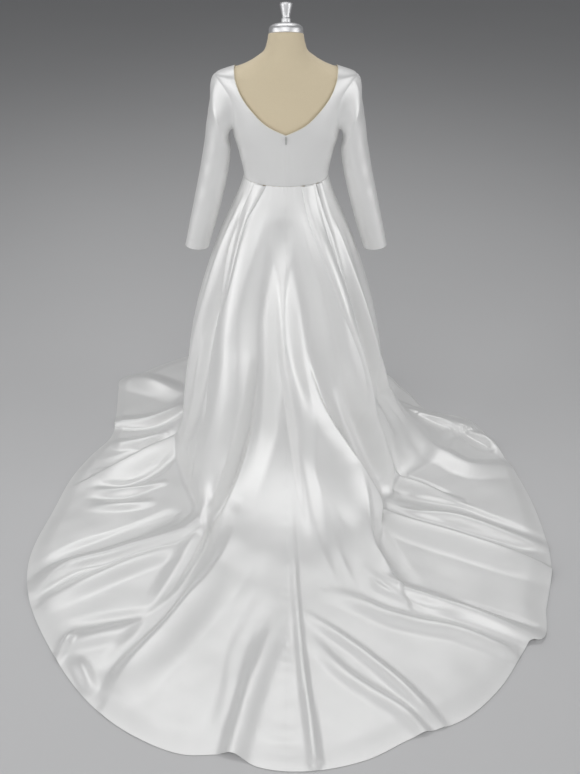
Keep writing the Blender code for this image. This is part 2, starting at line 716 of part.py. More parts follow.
def dress_form(name, skin):
    """A limbless torso: the body's rings moved in from the cloth, with a flat foot and a tilted neck top."""
    around = 28
    turns = 2 * math.pi * np.arange(around) / around
    rings = []
    for height in FORM_HEIGHTS + NECK_HEIGHTS:
        front = np.cos(turns) < 0
        side_turn = np.where(front, math.pi - turns, turns)
        level = np.full(around, height)
        behind = body_point(side_turn, level, False)
        before = body_point(side_turn, level, True)
        ring = np.where(front[:, None], before, behind)
        square_before = body_normal(side_turn, level, True)
        square_behind = body_normal(side_turn, level, False)
        square = np.where(front[:, None], square_before, square_behind)
        inset = FORM_CLEARANCE + (FORM_AT_SHOULDER - FORM_CLEARANCE) * ease(1.26, 1.34, height)
        inset = inset * (1 - ease(1.37, 1.40, height))
        ring = ring - square * inset
        tilted = ease(1.38, 1.451, height) * math.tan(NECK_TILT)
        ring[:, 2] -= ring[:, 1] * tilted
        rings.append(ring)
    rings[0] = rings[0] * (0.93, 0.93, 1)
    rings[0][:, 2] = FORM_FOOT_Z
    points = np.array(rings)
    rows = len(points)
    faces = [tuple(reversed(face)) for face in grid_faces(rows, around, closed=True)]
    flat = points.reshape(-1, 3)
    foot, top = len(flat), len(flat) + 1
    last = (rows - 1) * around
    flat = np.concatenate([flat, [points[0].mean(axis=0)], [points[-1].mean(axis=0)]])
    for k in range(around):
        n = (k + 1) % around
        faces.append((n, k, foot))
        faces.append((last + k, last + n, top))
    return solid(name, flat, faces, skin)


def box(name, centre, size, skin):
    x, y, z = (side / 2 for side in size)
    corners = [(sx * x, sy * y, sz * z) for sx in (-1, 1) for sy in (-1, 1) for sz in (-1, 1)]
    faces = [(0, 1, 3, 2), (4, 6, 7, 5), (0, 4, 5, 1), (2, 3, 7, 6), (0, 2, 6, 4), (1, 5, 7, 3)]
    return solid(name, np.array(corners) + np.array(centre), faces, skin)


def rod(name, radius, length, centre, skin, sides=20):
    """A round bar along X."""
    points = []
    for end in (-length / 2, length / 2):
        for k in range(sides):
            turn = 2 * math.pi * k / sides
            points.append((end, radius * math.cos(turn), radius * math.sin(turn)))
    faces = [(k, (k + 1) % sides, sides + (k + 1) % sides, sides + k) for k in range(sides)]
    faces += [tuple(reversed(range(sides))), tuple(range(sides, 2 * sides))]
    return solid(name, np.array(points) + np.array(centre), faces, skin)


def combine(target, other, operation):
    modifier = target.modifiers.new(operation.lower(), "BOOLEAN")
    modifier.operation = operation
    modifier.solver = "EXACT"
    modifier.object = other
    other.hide_render = True
    other.hide_set(True)


def zip_parts(skin):
    """The slider at the top of the closed zip, and the pull tab that hangs from its bar."""
    cloth_back = -(float(smooth(BODY[:, BODY_HEIGHT], BODY[:, BODY_BACK], ZIP_TOP_Z)) + WALL / 2)
    face_y = cloth_back - SEAM - SLIDER_DEPTH
    pin_y = face_y - PIN_STANDS_OFF
    pin_z = ZIP_TOP_Z - 0.0025
    slider_middle = (0, face_y + SLIDER_DEPTH / 2, ZIP_TOP_Z - SLIDER_HEIGHT / 2)
    slider = box("zip_slider", slider_middle, (SLIDER_WIDTH, SLIDER_DEPTH, SLIDER_HEIGHT), skin)
    for side in (-1, 1):
        ear = box(f"ear_{side}", (side * EAR_X, face_y - 0.0011, pin_z), (EAR_WIDTH, 0.0030, 0.0022), skin)
        combine(slider, ear, "UNION")
    combine(slider, rod("bar", PIN_RADIUS, 2 * EAR_X, (0, pin_y, pin_z), skin), "UNION")
    tab_size = (TAB_WIDTH, TAB_THICK, TAB_LENGTH - 0.0020)
    tab = box("zip_pull_tab", (0, 0, -TAB_LENGTH / 2 - 0.0020), tab_size, skin)
    tab.location = (0, pin_y, pin_z)
    combine(tab, box("tab_neck", (0, pin_y, pin_z - 0.0022), (0.0028, TAB_THICK, 0.0030), skin), "UNION")
    combine(tab, rod("eye", EYE_RADIUS, 0.0028, (0, pin_y, pin_z), skin), "UNION")
    combine(tab, rod("eye_hole", EYE_HOLE, 0.0060, (0, pin_y, pin_z), skin), "DIFFERENCE")


def main():
    clear_scene()
    satin = material("satin", SATIN, 0.35)
    linen = material("linen", LINEN, 0.9)
    steel = material("steel", STEEL, 0.35, 1.0)
    black_steel = material("black_steel", BLACK_STEEL, 0.5, 0.6)
    bodice_front("bodice_front", satin)
    bodice_back("bodice_back_left", -1, satin)
    bodice_back("bodice_back_right", 1, satin)
    sleeve("sleeve_left", -1, satin)
    sleeve("sleeve_right", 1, satin)
    right_pleats = ["back_right_inner", "back_right_outer"]
    front_pleats = ["front_right", "front_left"]
    front_end = 360 + SIDE_SEAM_LEFT
    skirt_panel("skirt_back_left", SIDE_SEAM_LEFT, 0, COLUMN_STEP_BACK, ["back_left"], satin)
    skirt_panel("skirt_back_right", 0, SIDE_SEAM_RIGHT, COLUMN_STEP_BACK, right_pleats, satin)
    skirt_panel("skirt_front", SIDE_SEAM_RIGHT, front_end, COLUMN_STEP_FRONT, front_pleats, satin)
    dress_form("form_torso", linen)
    cap_z = 1.451 + 0.0004
    lathe("form_neck_cap", CAP_PROFILE, 32, steel, (0, 0.0, cap_z), NECK_TILT)
    cap_top = CAP_PROFILE[-1][1] + SEAM
    finial_foot = (0, cap_top * math.sin(NECK_TILT), cap_z + cap_top * math.cos(NECK_TILT))
    lathe("form_finial", FINIAL_PROFILE, 24, steel, finial_foot, NECK_TILT)
    pole_low, pole_high = BASE_PROFILE[-1][1] + SEAM, FORM_FOOT_Z - SEAM
    pole = ((0, pole_low), (POLE_RADIUS, pole_low), (POLE_RADIUS, pole_high), (0, pole_high))
    lathe("stand_pole", pole, 20, steel)
    lathe("stand_base", BASE_PROFILE, 36, black_steel)
    zip_parts(steel)


main()
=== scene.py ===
"""The looks of a white satin wedding dress on a limbless dress form: long sleeves, a V back, a pleated skirt
and a long round train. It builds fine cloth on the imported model's own forms. Units are metres, +Z is up,
the back of the dress faces -Y, and the origin is on the floor under the middle of the stand."""

import json
import math

import bpy
import numpy as np
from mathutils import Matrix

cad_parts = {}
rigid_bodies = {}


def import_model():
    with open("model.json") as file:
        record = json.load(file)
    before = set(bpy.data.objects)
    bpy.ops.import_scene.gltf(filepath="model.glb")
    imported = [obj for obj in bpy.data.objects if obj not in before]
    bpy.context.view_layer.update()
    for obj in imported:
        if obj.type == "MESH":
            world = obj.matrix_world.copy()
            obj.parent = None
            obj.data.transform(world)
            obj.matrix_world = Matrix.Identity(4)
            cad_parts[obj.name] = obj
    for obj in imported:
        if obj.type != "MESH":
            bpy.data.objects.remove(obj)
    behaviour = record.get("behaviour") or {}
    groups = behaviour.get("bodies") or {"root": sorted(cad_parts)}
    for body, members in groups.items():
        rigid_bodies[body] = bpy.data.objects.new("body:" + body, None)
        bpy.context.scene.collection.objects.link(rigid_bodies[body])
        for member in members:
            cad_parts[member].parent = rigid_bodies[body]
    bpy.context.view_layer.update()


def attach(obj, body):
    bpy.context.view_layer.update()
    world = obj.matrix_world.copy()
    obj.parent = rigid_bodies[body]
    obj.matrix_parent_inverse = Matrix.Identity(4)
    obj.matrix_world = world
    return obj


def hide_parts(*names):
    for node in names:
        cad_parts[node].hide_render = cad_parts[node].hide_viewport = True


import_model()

BODY_NAME = "dress_on_form"

# Camera. The form's axis is 4 pixels left of the picture's middle
PICTURE_HEIGHT = 774
CAMERA_AT = (0.0, -2.85, 2.2)
CAMERA_PITCH = math.radians(34.106)
CAMERA_LENS = 46.67
AXIS_SHIFT = 4 / PICTURE_HEIGHT

# Cloth and seams
THICK = 0.0011
WALL = 0.002
SEAM = 0.0001
NODE_SEAM = 0.0003
WAIST_Z = 1.04
ARMPIT_Z = 1.18
SHOULDER_Z = 1.345

# The body that the bodice follows, as flattened rings: height, half width, depth behind, depth in front
BODY_HEIGHT, BODY_HALF_WIDTH, BODY_BACK, BODY_FRONT = range(4)
BODY = np.array([
    (0.780, 0.150, 0.112, 0.106), (0.860, 0.160, 0.122, 0.112), (0.930, 0.152, 0.112, 0.106),
    (1.000, 0.133, 0.096, 0.097), (1.040, 0.126, 0.092, 0.095), (1.080, 0.131, 0.095, 0.099),
    (1.130, 0.143, 0.103, 0.109), (1.170, 0.154, 0.110, 0.121), (1.200, 0.160, 0.113, 0.127),
    (1.240, 0.169, 0.112, 0.127), (1.280, 0.181, 0.106, 0.117), (1.315, 0.195, 0.094, 0.099),
    (1.332, 0.200, 0.084, 0.086), (1.345, 0.197, 0.076, 0.075), (1.355, 0.170, 0.071, 0.067),
    (1.364, 0.140, 0.068, 0.062), (1.375, 0.112, 0.065, 0.057), (1.388, 0.086, 0.062, 0.053),
    (1.403, 0.0645, 0.058, 0.050), (1.430, 0.0530, 0.052, 0.047), (1.451, 0.0490, 0.048, 0.045),
])

# Necklines from the V point to the strap: distance from the middle, height
BACK_NECK = ((0.0, 1.200), (0.056, 1.226), (0.097, 1.262), (0.125, 1.297), (0.141, 1.332), (0.1475, 1.3618))
FRONT_NECK = ((0.0, 1.236), (0.050, 1.243), (0.096, 1.270), (0.126, 1.308), (0.141, 1.342), (0.1475, 1.3618))

# The armhole from the armpit to the shoulder: degrees round the body from its middle, height
ARMHOLE = ((90, 1.180), (74, 1.192), (63, 1.222), (58, 1.262), (60, 1.302), (71, 1.331), (90, 1.345))

# The hanging sleeve: outer edge x and z, inner edge x and z, half depth behind, half depth in front
SLEEVE = np.array([
    (0.209, 1.318, 0.172, 1.172, 0.064, 0.064), (0.217, 1.276, 0.167, 1.150, 0.064, 0.065),
    (0.228, 1.215, 0.163, 1.122, 0.060, 0.063), (0.242, 1.130, 0.167, 1.084, 0.055, 0.060),
    (0.259, 1.048, 0.178, 1.028, 0.049, 0.056), (0.278, 0.965, 0.196, 0.955, 0.043, 0.052),
    (0.297, 0.885, 0.218, 0.878, 0.038, 0.048), (0.315, 0.806, 0.243, 0.799, 0.033, 0.044),
])

# The hanging skirt, as rings: height, half width, depth behind, depth in front
HANG = np.array([
    (0.330, 0.333, 0.342, 0.266), (0.420, 0.319, 0.318, 0.246), (0.560, 0.289, 0.276, 0.214),
    (0.700, 0.250, 0.228, 0.180), (0.850, 0.200, 0.172, 0.142), (0.970, 0.150, 0.116, 0.112),
    (1.0397, 0.126, 0.092, 0.095),
])

# Where the skirt meets the floor: bearing in degrees from the back, radius, pull down, pull in
LAND = np.array([
    (-180, 0.45, 0.17, 0.45), (-150, 0.46, 0.17, 0.45), (-120, 0.44, 0.17, 0.45),
    (-90, 0.40, 0.17, 0.45), (-62, 0.41, 0.17, 0.45), (-42, 0.47, 0.16, 0.43),
    (-26, 0.60, 0.16, 0.42), (-10, 0.70, 0.17, 0.43), (6, 0.74, 0.17, 0.44),
    (22, 0.66, 0.16, 0.42), (40, 0.50, 0.16, 0.42), (62, 0.44, 0.15, 0.42),
    (82, 0.54, 0.08, 0.50), (95, 0.61, 0.06, 0.50), (108, 0.58, 0.08, 0.50),
    (130, 0.48, 0.15, 0.40), (155, 0.45, 0.17, 0.45), (180, 0.45, 0.17, 0.45),
])

# The hem of the train on the floor: bearing in degrees from the back, radius
HEM = np.array([
    (-180, 0.62), (-165, 0.66), (-150, 0.73), (-138, 0.745), (-130, 0.758), (-123.5, 0.784), (-120, 0.752),
    (-114, 0.704), (-106, 0.66), (-96, 0.64), (-87, 0.69), (-78, 0.752), (-66, 0.843), (-54, 0.987),
    (-48, 1.044), (-36, 1.135), (-24, 1.236), (-18, 1.273), (-12, 1.293), (-6, 1.278), (-3, 1.305),
    (2, 1.316), (9, 1.298), (15, 1.26), (22, 1.25), (28, 1.212), (36, 1.143), (37.7, 1.134),
    (39, 1.151), (45, 1.085), (54, 1.013), (63, 0.93), (72, 0.86), (84, 0.786), (94, 0.74),
    (102, 0.717), (107, 0.68), (111, 0.598), (115, 0.576), (126, 0.59), (135, 0.6), (150, 0.58),
    (180, 0.62),
])

# Pleats: fold edge in degrees at five places down the skirt, side of the under layer, depth at the waist
# and depth below it
PLEAT_DOWN = (0.0, 0.15, 0.45, 0.95, 1.6)
PLEATS = {
    "back_left": ((-44, -55, -57, -54, -52), -1, 0.020, 0.020),
    "back_right_inner": ((38, 37, 43, 49, 52), 1, 0.020, 0.020),
    "back_right_outer": ((54, 56, 61, 68, 72), 1, 0.008, 0.014),
    "front_left": ((222, 220, 220, 222, 224), -1, 0.018, 0.018),
    "front_right": ((138, 140, 140, 138, 136), 1, 0.018, 0.018),
}
PLEAT_HEIGHT = 0.0074

# Nine places across a pleat. Folded: shares of its depth, metres past its edge, shares of its height.
# Open: metres past its edge, shares of its height
FOLDED_DEPTH = np.array([-1, -1, 0, 0, 0, -1, -1, -1, 0])
FOLDED_ALONG = np.array([-0.0120, -0.0030, -0.0005, 0.0022, 0.0004, 0.0, -0.0020, 0.0, 0.0080])
FOLDED_OUT = np.array([0.35, 1.0, 1.0, 0.75, 0.53, 0.46, 0.23, 0.0, 0.0])
OPEN_ALONG = np.array([-0.045, -0.030, -0.017, -0.008, 0.0, 0.008, 0.017, 0.028, 0.042])
OPEN_OUT = np.array([0.05, 0.45, 0.9, 1.0, 0.9, 0.65, 0.35, 0.1, 0.0])
PLEAT_COLUMNS = 29

# Folds that hang: line of place down the skirt, bearing in degrees and height in millimetres, then in
# millimetres the width on the side of lower and of higher bearing, and how far the crest leans to the higher
HANGING_FOLDS = (
    (((0.03, -33, 2), (0.2, -38, 12), (0.5, -39, 24), (0.75, -36, 30), (0.98, -38, 36), (1.3, -43, 32),
      (1.55, -44, 24), (1.86, -44, 0)), 85, 85, 0),
    (((0.66, -24, 1), (0.8, -24, 16), (1.0, -27, 30), (1.25, -29, 40), (1.45, -30.5, 36), (1.66, -32, 28),
      (1.9, -32, 0)), 100, 22, 10),
    (((0.7, -21.5, -1), (0.9, -22, -12), (1.2, -25, -18), (1.5, -28, -16), (1.7, -29, -4)), 14, 22, 0),
    (((0.13, -8, -3), (0.22, -11, -16), (0.34, -15, -28), (0.5, -18, -38), (0.72, -16, -40), (0.95, -16, -34),
      (1.2, -19, -20), (1.45, -22, -6)), 70, 78, 0),
    (((0.13, 1, -3), (0.22, 4, -16), (0.34, 9, -28), (0.5, 13, -38), (0.7, 17, -36), (0.92, 24, -22),
      (1.15, 31, -8)), 75, 70, 0),
    (((0.05, 22, 2), (0.25, 31, 14), (0.45, 36, 20), (0.66, 37, 16), (0.9, 41, 4)), 60, 40, 0),
    (((0.4, -1, 1), (0.6, 0, 10), (0.8, 3, 20), (1.0, 6, 24), (1.3, 8, 16), (1.6, 9, 1)), 30, 55, 0),
    (((0.72, 14, 1), (0.88, 19.5, 20), (1.0, 25, 34), (1.32, 33, 46), (1.71, 37, 40),
      (2.02, 34, 0)), 140, 18, 14),
    (((0.84, 22, -1), (1.02, 29, -14), (1.32, 36.5, -20), (1.68, 40.5, -18), (2.0, 37, -2)), 14, 24, 0),
    (((0.7, 30, -2), (0.9, 37, -20), (1.15, 45, -20), (1.5, 49, -6)), 45, 45, 0),
    (((0.1, 38, 2), (0.42, 43, 18), (0.67, 45, 28), (0.9, 48, 36), (1.2, 54, 38), (1.6, 58, 34),
      (1.96, 54, 6)), 60, 20, 10),
    (((0.14, 42, -1), (0.42, 47, -10), (0.67, 49.5, -14), (0.9, 52.5, -16), (1.15, 57.5, -14),
      (1.5, 61, -4)), 12, 20, 0),
    (((0.25, 54, -4), (0.6, 57, -20), (0.9, 63, -24), (1.15, 72, -20), (1.4, 78, -8)), 35, 45, 0),
    (((0.2, 58, 4), (0.47, 62, 14), (0.71, 65, 18), (0.9, 71, 21), (1.19, 83, 21), (1.44, 89, 9)), 26, 22, 6),
    (((0.25, 75, -4), (0.55, 80, -14), (0.9, 92, -13), (1.2, 98, -3)), 40, 50, 0),
    (((0.16, -52, -6), (0.4, -53, -22), (0.6, -58, -28), (0.85, -58, -26), (1.1, -62, -18),
      (1.43, -71, -6)), 45, 50, 0),
    (((0.1, -64, 5), (0.3, -67, 14), (0.6, -71, 16), (0.9, -73, 16), (1.2, -77, 8)), 32, 35, -4),
    (((0.15, -80, -3), (0.5, -84, -12), (0.85, -86, -10), (1.2, -90, -2)), 40, 45, 0),
    (((0.1, -98, 3), (0.5, -99, 10), (0.9, -102, 12), (1.4, -106, 8)), 45, 45, 0),
    (((0.1, -118, -3), (0.45, -121, -14), (0.85, -120, -16), (1.35, -124, -8)), 55, 50, 0),
    (((0.15, -158, -3), (0.5, -156, -14), (0.9, -159, -16), (1.4, -156, -7)), 55, 60, 0),
    (((0.12, 180, 2), (0.5, 178, 12), (0.9, 181, 15), (1.45, 177, 9)), 60, 55, 0),
    (((0.15, 161, -3), (0.5, 163, -13), (0.9, 160, -17), (1.4, 163, -7)), 55, 55, 0),
    (((0.1, 119, -3), (0.45, 122, -13), (0.9, 119, -16), (1.35, 122, -8)), 50, 50, 0),
    (((0.15, 102, 2), (0.55, 104, 9), (0.95, 107, 11), (1.4, 110, 5)), 45, 45, 0),
)

# Folds on the floor, in millimetres: line of x, y and height, width on its left and on its right, and how
# far its crest leans to the left
FLOOR_FOLDS = (
    # left of the middle: the long ridge under the hanging fold, its trough and the slope below it
    (((-235, -325, 10), (-317, -448, 26), (-451, -515, 29), (-549, -560, 28), (-678, -613, 24),
      (-760, -705, 4)), 34, 55, 7),
    (((-380, -380, -6), (-483, -444, -10), (-562, -488, -10), (-659, -539, -9), (-745, -610, -2)), 40, 50, 0),
    (((-540, -575, -1), (-614, -604, -6), (-700, -622, -1)), 14, 14, 0),
    (((-300, -500, 3), (-430, -560, 15), (-560, -640, 16), (-700, -735, 6)), 60, 35, 0),
    # the deep trough left of the middle, its crest and the bright ridge on its right
    (((-215, -300, 24), (-256, -430, 26), (-278, -523, 24), (-312, -621, 18), (-345, -710, 8)), 20, 75, 6),
    (((-195, -300, -6), (-250, -470, -12), (-300, -620, -13), (-352, -765, -12), (-430, -890, -10),
      (-485, -990, -3)), 45, 45, 0),
    (((-150, -460, 8), (-221, -643, 22), (-288, -756, 24), (-366, -895, 22), (-431, -993, 17),
      (-470, -1080, 3)), 110, 46, -4),
    (((-395, -790, -3), (-465, -807, -8), (-546, -824, -6), (-630, -840, -1)), 30, 30, 0),
    (((-420, -850, 2), (-530, -880, 10), (-610, -905, 6)), 45, 45, 0),
    # small folds at the left hem
    (((-640, -965, 4), (-618, -890, 13), (-600, -870, 2)), 16, 20, 0),
    (((-590, -960, 2), (-560, -1000, 12), (-530, -1060, 6)), 30, 30, 0),
    # the left side, from the side seam forward
    (((-372, 80, 12), (-470, -23, 26), (-555, -99, 25), (-655, -165, 8)), 95, 18, -5),
    (((-350, 120, -4), (-455, 10, -10), (-560, -70, -8), (-640, -110, -1)), 20, 50, 0),
    (((-640, -212, -1), (-530, -203, -10), (-445, -140, -9), (-390, -50, -2)), 22, 22, 0),
    (((-660, -240, 1), (-523, -236, 10), (-420, -202, 4)), 22, 22, 0),
    (((-660, -276, -1), (-557, -272, -8), (-470, -254, -1)), 18, 18, 0),
    (((-655, -322, 1), (-550, -317, 10), (-455, -300, 3)), 30, 30, 0),
    (((-640, 142, 10), (-515, 150, 18), (-425, 205, 18), (-370, 270, 6)), 60, 14, 0),
    (((-635, 118, -2), (-525, 120, -9), (-430, 165, -8), (-375, 225, -1)), 16, 22, 0),
    (((-420, 90, 4), (-500, 40, 14), (-590, 20, 10)), 40, 40, 0),
    (((-400, 330, 6), (-520, 400, 22), (-600, 430, 10)), 80, 80, 0),
    # right of the middle: the lap that ends in a point
    (((170, -300, 14), (222, -395, 28), (262, -500, 30), (300, -600, 26), (338, -696, 12)), 20, 110, 5),
    (((225, -330, -4), (285, -450, -9), (325, -560, -8), (370, -670, -2)), 45, 30, 0),
    (((290, -690, 8), (365, -722, 22), (498, -786, 25), (590, -826, 23), (705, -886, 12)), 52, 40, 0),
    (((250, -640, -2), (310, -702, -10), (400, -757, -12), (500, -797, -7), (560, -830, -1)), 16, 20, 0),
    (((480, -740, -2), (590, -785, -8), (712, -842, -4)), 18, 14, 0),
    (((140, -717, 3), (222, -755, 12), (300, -800, 14), (400, -835, 14), (500, -865, 16),
      (620, -930, 14)), 34, 50, 0),
    # the strip and the bands on the right
    (((285, -335, 10), (372, -400, 24), (510, -466, 27), (663, -543, 26), (795, -600, 10)), 20, 85, 5),
    (((310, -322, -3), (425, -375, -10), (578, -446, -12), (701, -503, -10), (790, -535, -1)), 26, 20, 0),
    (((380, -345, 3), (523, -366, 14), (619, -409, 15), (711, -458, 13), (815, -512, 4)), 30, 30, 0),
    (((370, -282, -2), (464, -294, -12), (571, -326, -12), (659, -377, -9), (811, -466, -1)), 24, 26, 0),
    (((335, -160, 6), (400, -200, 18), (480, -240, 18), (580, -290, 3)), 22, 60, 4),
    (((330, -132, -2), (395, -172, -10), (473, -210, -9), (545, -258, -1)), 20, 16, 0),
    # the hollow at the right side
    (((470, 0, 10), (560, -50, 16), (640, -110, 16), (760, -110, 6)), 50, 70, 3),
    (((560, -5, -4), (590, 60, -14), (640, 100, -6)), 28, 30, 0),
    (((625, 110, -4), (680, 35, -14), (730, 0, -4)), 30, 30, 0),
    (((500, 190, 10), (581, 140, 20), (640, 118, 12)), 70, 18, -3),
    (((680, 90, 4), (730, 40, 14), (770, -30, 4)), 28, 28, 0),
    # the flat part behind the middle, with the low ridge that the seam makes
    (((12, -350, 1), (24, -560, 5), (36, -800, 7), (50, -1010, 8), (66, -1170, 10),
      (76, -1290, 11)), 13, 26, 0),
    (((50, -790, 1), (159, -885, 11), (245, -972, 13), (321, -1062, 13), (410, -1185, 3)), 20, 34, 0),
    (((60, -875, 1), (153, -1002, 9), (238, -1078, 10), (313, -1140, 10), (385, -1235, 6)), 26, 40, 0),
    (((-10, -760, 1), (-60, -940, 10), (-104, -1092, 11), (-140, -1270, 12)), 60, 40, 0),
    (((-75, -736, -1), (-134, -943, -7), (-152, -1099, -6), (-185, -1230, -1)), 40, 40, 0),
    (((-60, -560, 4), (-90, -700, 12), (-120, -800, 4)), 100, 100, 0),
    (((120, -480, 2), (160, -620, 10), (170, -700, 3)), 80, 80, 0),
    (((50, -300, -2), (110, -460, -6), (150, -600, -5), (180, -680, -1)), 30, 30, 0),
    # the front, which the photo hides
    (((300, 330, 8), (400, 440, 18), (450, 500, 6)), 70, 60, 0),
    (((50, 400, 6), (40, 500, 18), (60, 600, 6)), 70, 80, 0),
    (((-200, 390, 6), (-270, 520, 20), (-330, 620, 6)), 80, 70, 0),
)

# The sections of those folds: how much of a crease a crest has, and a factor on the heights on the floor
MM_PER_METRE = 1000
HANGING_CREASE = 0.15
FLOOR_CREASE = 0.30
FLOOR_HEIGHTS = 1.25

# Quiet unevenness of cloth at rest: length of one wave, direction in degrees, where it starts
WAVES = (
    (0.410, 20, 0.3), (0.333, 75, 1.9), (0.287, 131, 4.0), (0.236, 160, 2.2), (0.205, 48, 5.1),
    (0.171, 100, 0.9), (0.143, 12, 3.3), (0.122, 145, 1.2), (0.101, 62, 5.7), (0.083, 118, 2.7),
)

WAVES_SIZE = 0.0022

# Drags on the bodice: size, waves for a metre up, for a radian round, start, then where the drag is and how
# far it spreads, in radians round and metres up
BODICE_DRAGS = (
    (0.0011, 95, 3.1, 0.0, 1.15, 0.5, 1.13, 0.07),
    (0.0007, 61, -4.3, 1.0, 0.75, 0.5, 1.07, 0.05),
)

# Drags on a sleeve: size, waves for a ring, start, the ring where the drag is and its spread in rings, waves
# round, start, turn for a ring
SLEEVE_DRAGS = (
    (0.0012, 6.1, 0.0, 4.1, 1.1, 1.0, 0.0, 0.35),
    (0.0016, 4.3, 1.2, 1.9, 0.8, 1.5, 2.0, 0.50),
)
# How far forward the cuff hangs, the stitched line of its hem, the first ring that hangs free of the armhole
# and the directions in which the sleeve leaves the armhole, under the arm and over it
CUFF_FORWARD = 0.010
CUFF_HEM_DEPTH, CUFF_HEM_AT, CUFF_HEM_SPREAD = 0.0006, 0.045, 0.004
FIRST_HANGING = 1.1
LEAD_UNDER = np.array([1, 0, -0.25])
LEAD_OVER = np.array([0.75, 0, -0.15])
ARMHOLE_MIDDLE = np.array([0.185, 0, (ARMPIT_Z + SHOULDER_Z) / 2])

# Skirt panels: degrees from the back of their seams, degrees between columns, rows of each stretch
SIDE_SEAM_LEFT = -100
SIDE_SEAM_RIGHT = 100
COLUMN_STEP = 0.42
ROWS_HANGING, ROWS_CURVE, ROWS_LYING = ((54, 58, 64))
TRAIN_LIFT = 0.0075

# Bodice and sleeve meshes
BODICE_ROWS_BELOW, BODICE_ROWS_ABOVE, BODICE_COLUMNS = 40, 56, 61
SLEEVE_STEPS_AT_HEAD, SLEEVE_RINGS_AT_HEAD, SLEEVE_RINGS = 45, 26, 96

# Dress form
FORM_CLEARANCE = 0.005
FORM_AT_SHOULDER = 0.0035
FORM_FOOT_Z = 0.78
FORM_TOP_Z = 1.451
NECK_TILT = math.radians(20)

# Turned pieces on the neck: radius and height
CAP_TOP = 0.0288
CAP_PROFILE = (
    (0.0005, 0), (0.0470, 0), (0.0478, 0.002), (0.0478, 0.013), (0.0455, 0.0185), (0.038, 0.0240),
    (0.026, 0.0275), (0.0145, CAP_TOP), (0.0005, CAP_TOP),
)
FINIAL_PROFILE = (
    (0.0005, 0), (0.0135, 0), (0.0140, 0.0015), (0.0140, 0.010), (0.0125, 0.0115), (0.0112, 0.013),
    (0.0112, 0.018), (0.0128, 0.026), (0.0172, 0.045), (0.0178, 0.049), (0.0165, 0.052), (0.0005, 0.053),
)

# The facing's turned edge
EDGE_RADIUS = 0.0010
EDGE_ABOVE_CLOTH = 0.0009
EDGE_INSIDE_CLOTH = 0.0001
EDGE_SIDES = 8


def smooth(xs, ys, at):
    """A smooth curve through the points of a table."""
    xs = np.asarray(xs, float)
    ys = np.asarray(ys, float)
    slope = np.diff(ys) / np.diff(xs)
    lean = np.concatenate([slope[:1], (slope[:-1] + slope[1:]) / 2, slope[-1:]])
    at = np.clip(np.asarray(at, float), xs[0], xs[-1])
    i = np.clip(np.searchsorted(xs, at) - 1, 0, len(xs) - 2)
    step = xs[i + 1] - xs[i]
    s = (at - xs[i]) / step
    return (
        (2 * s**3 - 3 * s**2 + 1) * ys[i]
        + (s**3 - 2 * s**2 + s) * step * lean[i]
        + (3 * s**2 - 2 * s**3) * ys[i + 1]
        + (s**3 - s**2) * step * lean[i + 1]
    )


def ease(low, high, at):
    s = np.clip((np.asarray(at, float) - low) / (high - low), 0, 1)
    return s * s * (3 - 2 * s)


def unit(vectors):
    return vectors / np.maximum(np.linalg.norm(vectors, axis=-1, keepdims=True), 1e-12)


def corner_normals(points, closed=False):
    """Directions square to a grid of points, each the mean of the faces that meet there."""
    grid = np.concatenate([points, points[:, :1]], axis=1) if closed else points
    across = grid[:, 1:] - grid[:, :-1]
    down = grid[1:] - grid[:-1]
    total = np.zeros_like(grid)
    for r in (0, 1):
        for c in (0, 1):
            side = across[r : across.shape[0] - 1 + r]
            fall = down[:, c : down.shape[1] - 1 + c]
            square = unit(np.cross(fall, side))
            total[r : total.shape[0] - 1 + r, c : total.shape[1] - 1 + c] += square
    if closed:
        total[:, 0] += total[:, -1]
        total = total[:, :-1]
    return unit(total)


def grid_faces(rows, columns, closed=False):
    r, c = np.meshgrid(np.arange(rows - 1), np.arange(columns if closed else columns - 1), indexing="ij")
    d = (c + 1) % columns
    faces = np.stack([r * columns + c, (r + 1) * columns + c, (r + 1) * columns + d, r * columns + d], axis=-1)
    return faces.reshape(-1, 4)


def placed(name, data):
    obj = bpy.data.objects.new(name, data)
    bpy.context.scene.collection.objects.link(obj)
    return obj


def new_mesh(name, points, faces, skin):
    mesh = bpy.data.meshes.new(name)
    mesh.from_pydata(np.asarray(points, float).reshape(-1, 3).tolist(), [], faces)
    mesh.materials.append(skin)
    mesh.polygons.foreach_set("use_smooth", [True] * len(mesh.polygons))
    mesh.update()
    return placed(name, mesh)


def capped_tube(name, rings, skin, order=-1):
    """A closed mesh through a stack of rings, with a face over each end."""
    rows, around = rings.shape[:2]
    faces = grid_faces(rows, around, closed=True)[:, ::order].tolist()
    faces.append(list(range(around))[::order])
    faces.append(list(range((rows - 1) * around, rows * around))[::-order])
    return new_mesh(name, rings, faces, skin)


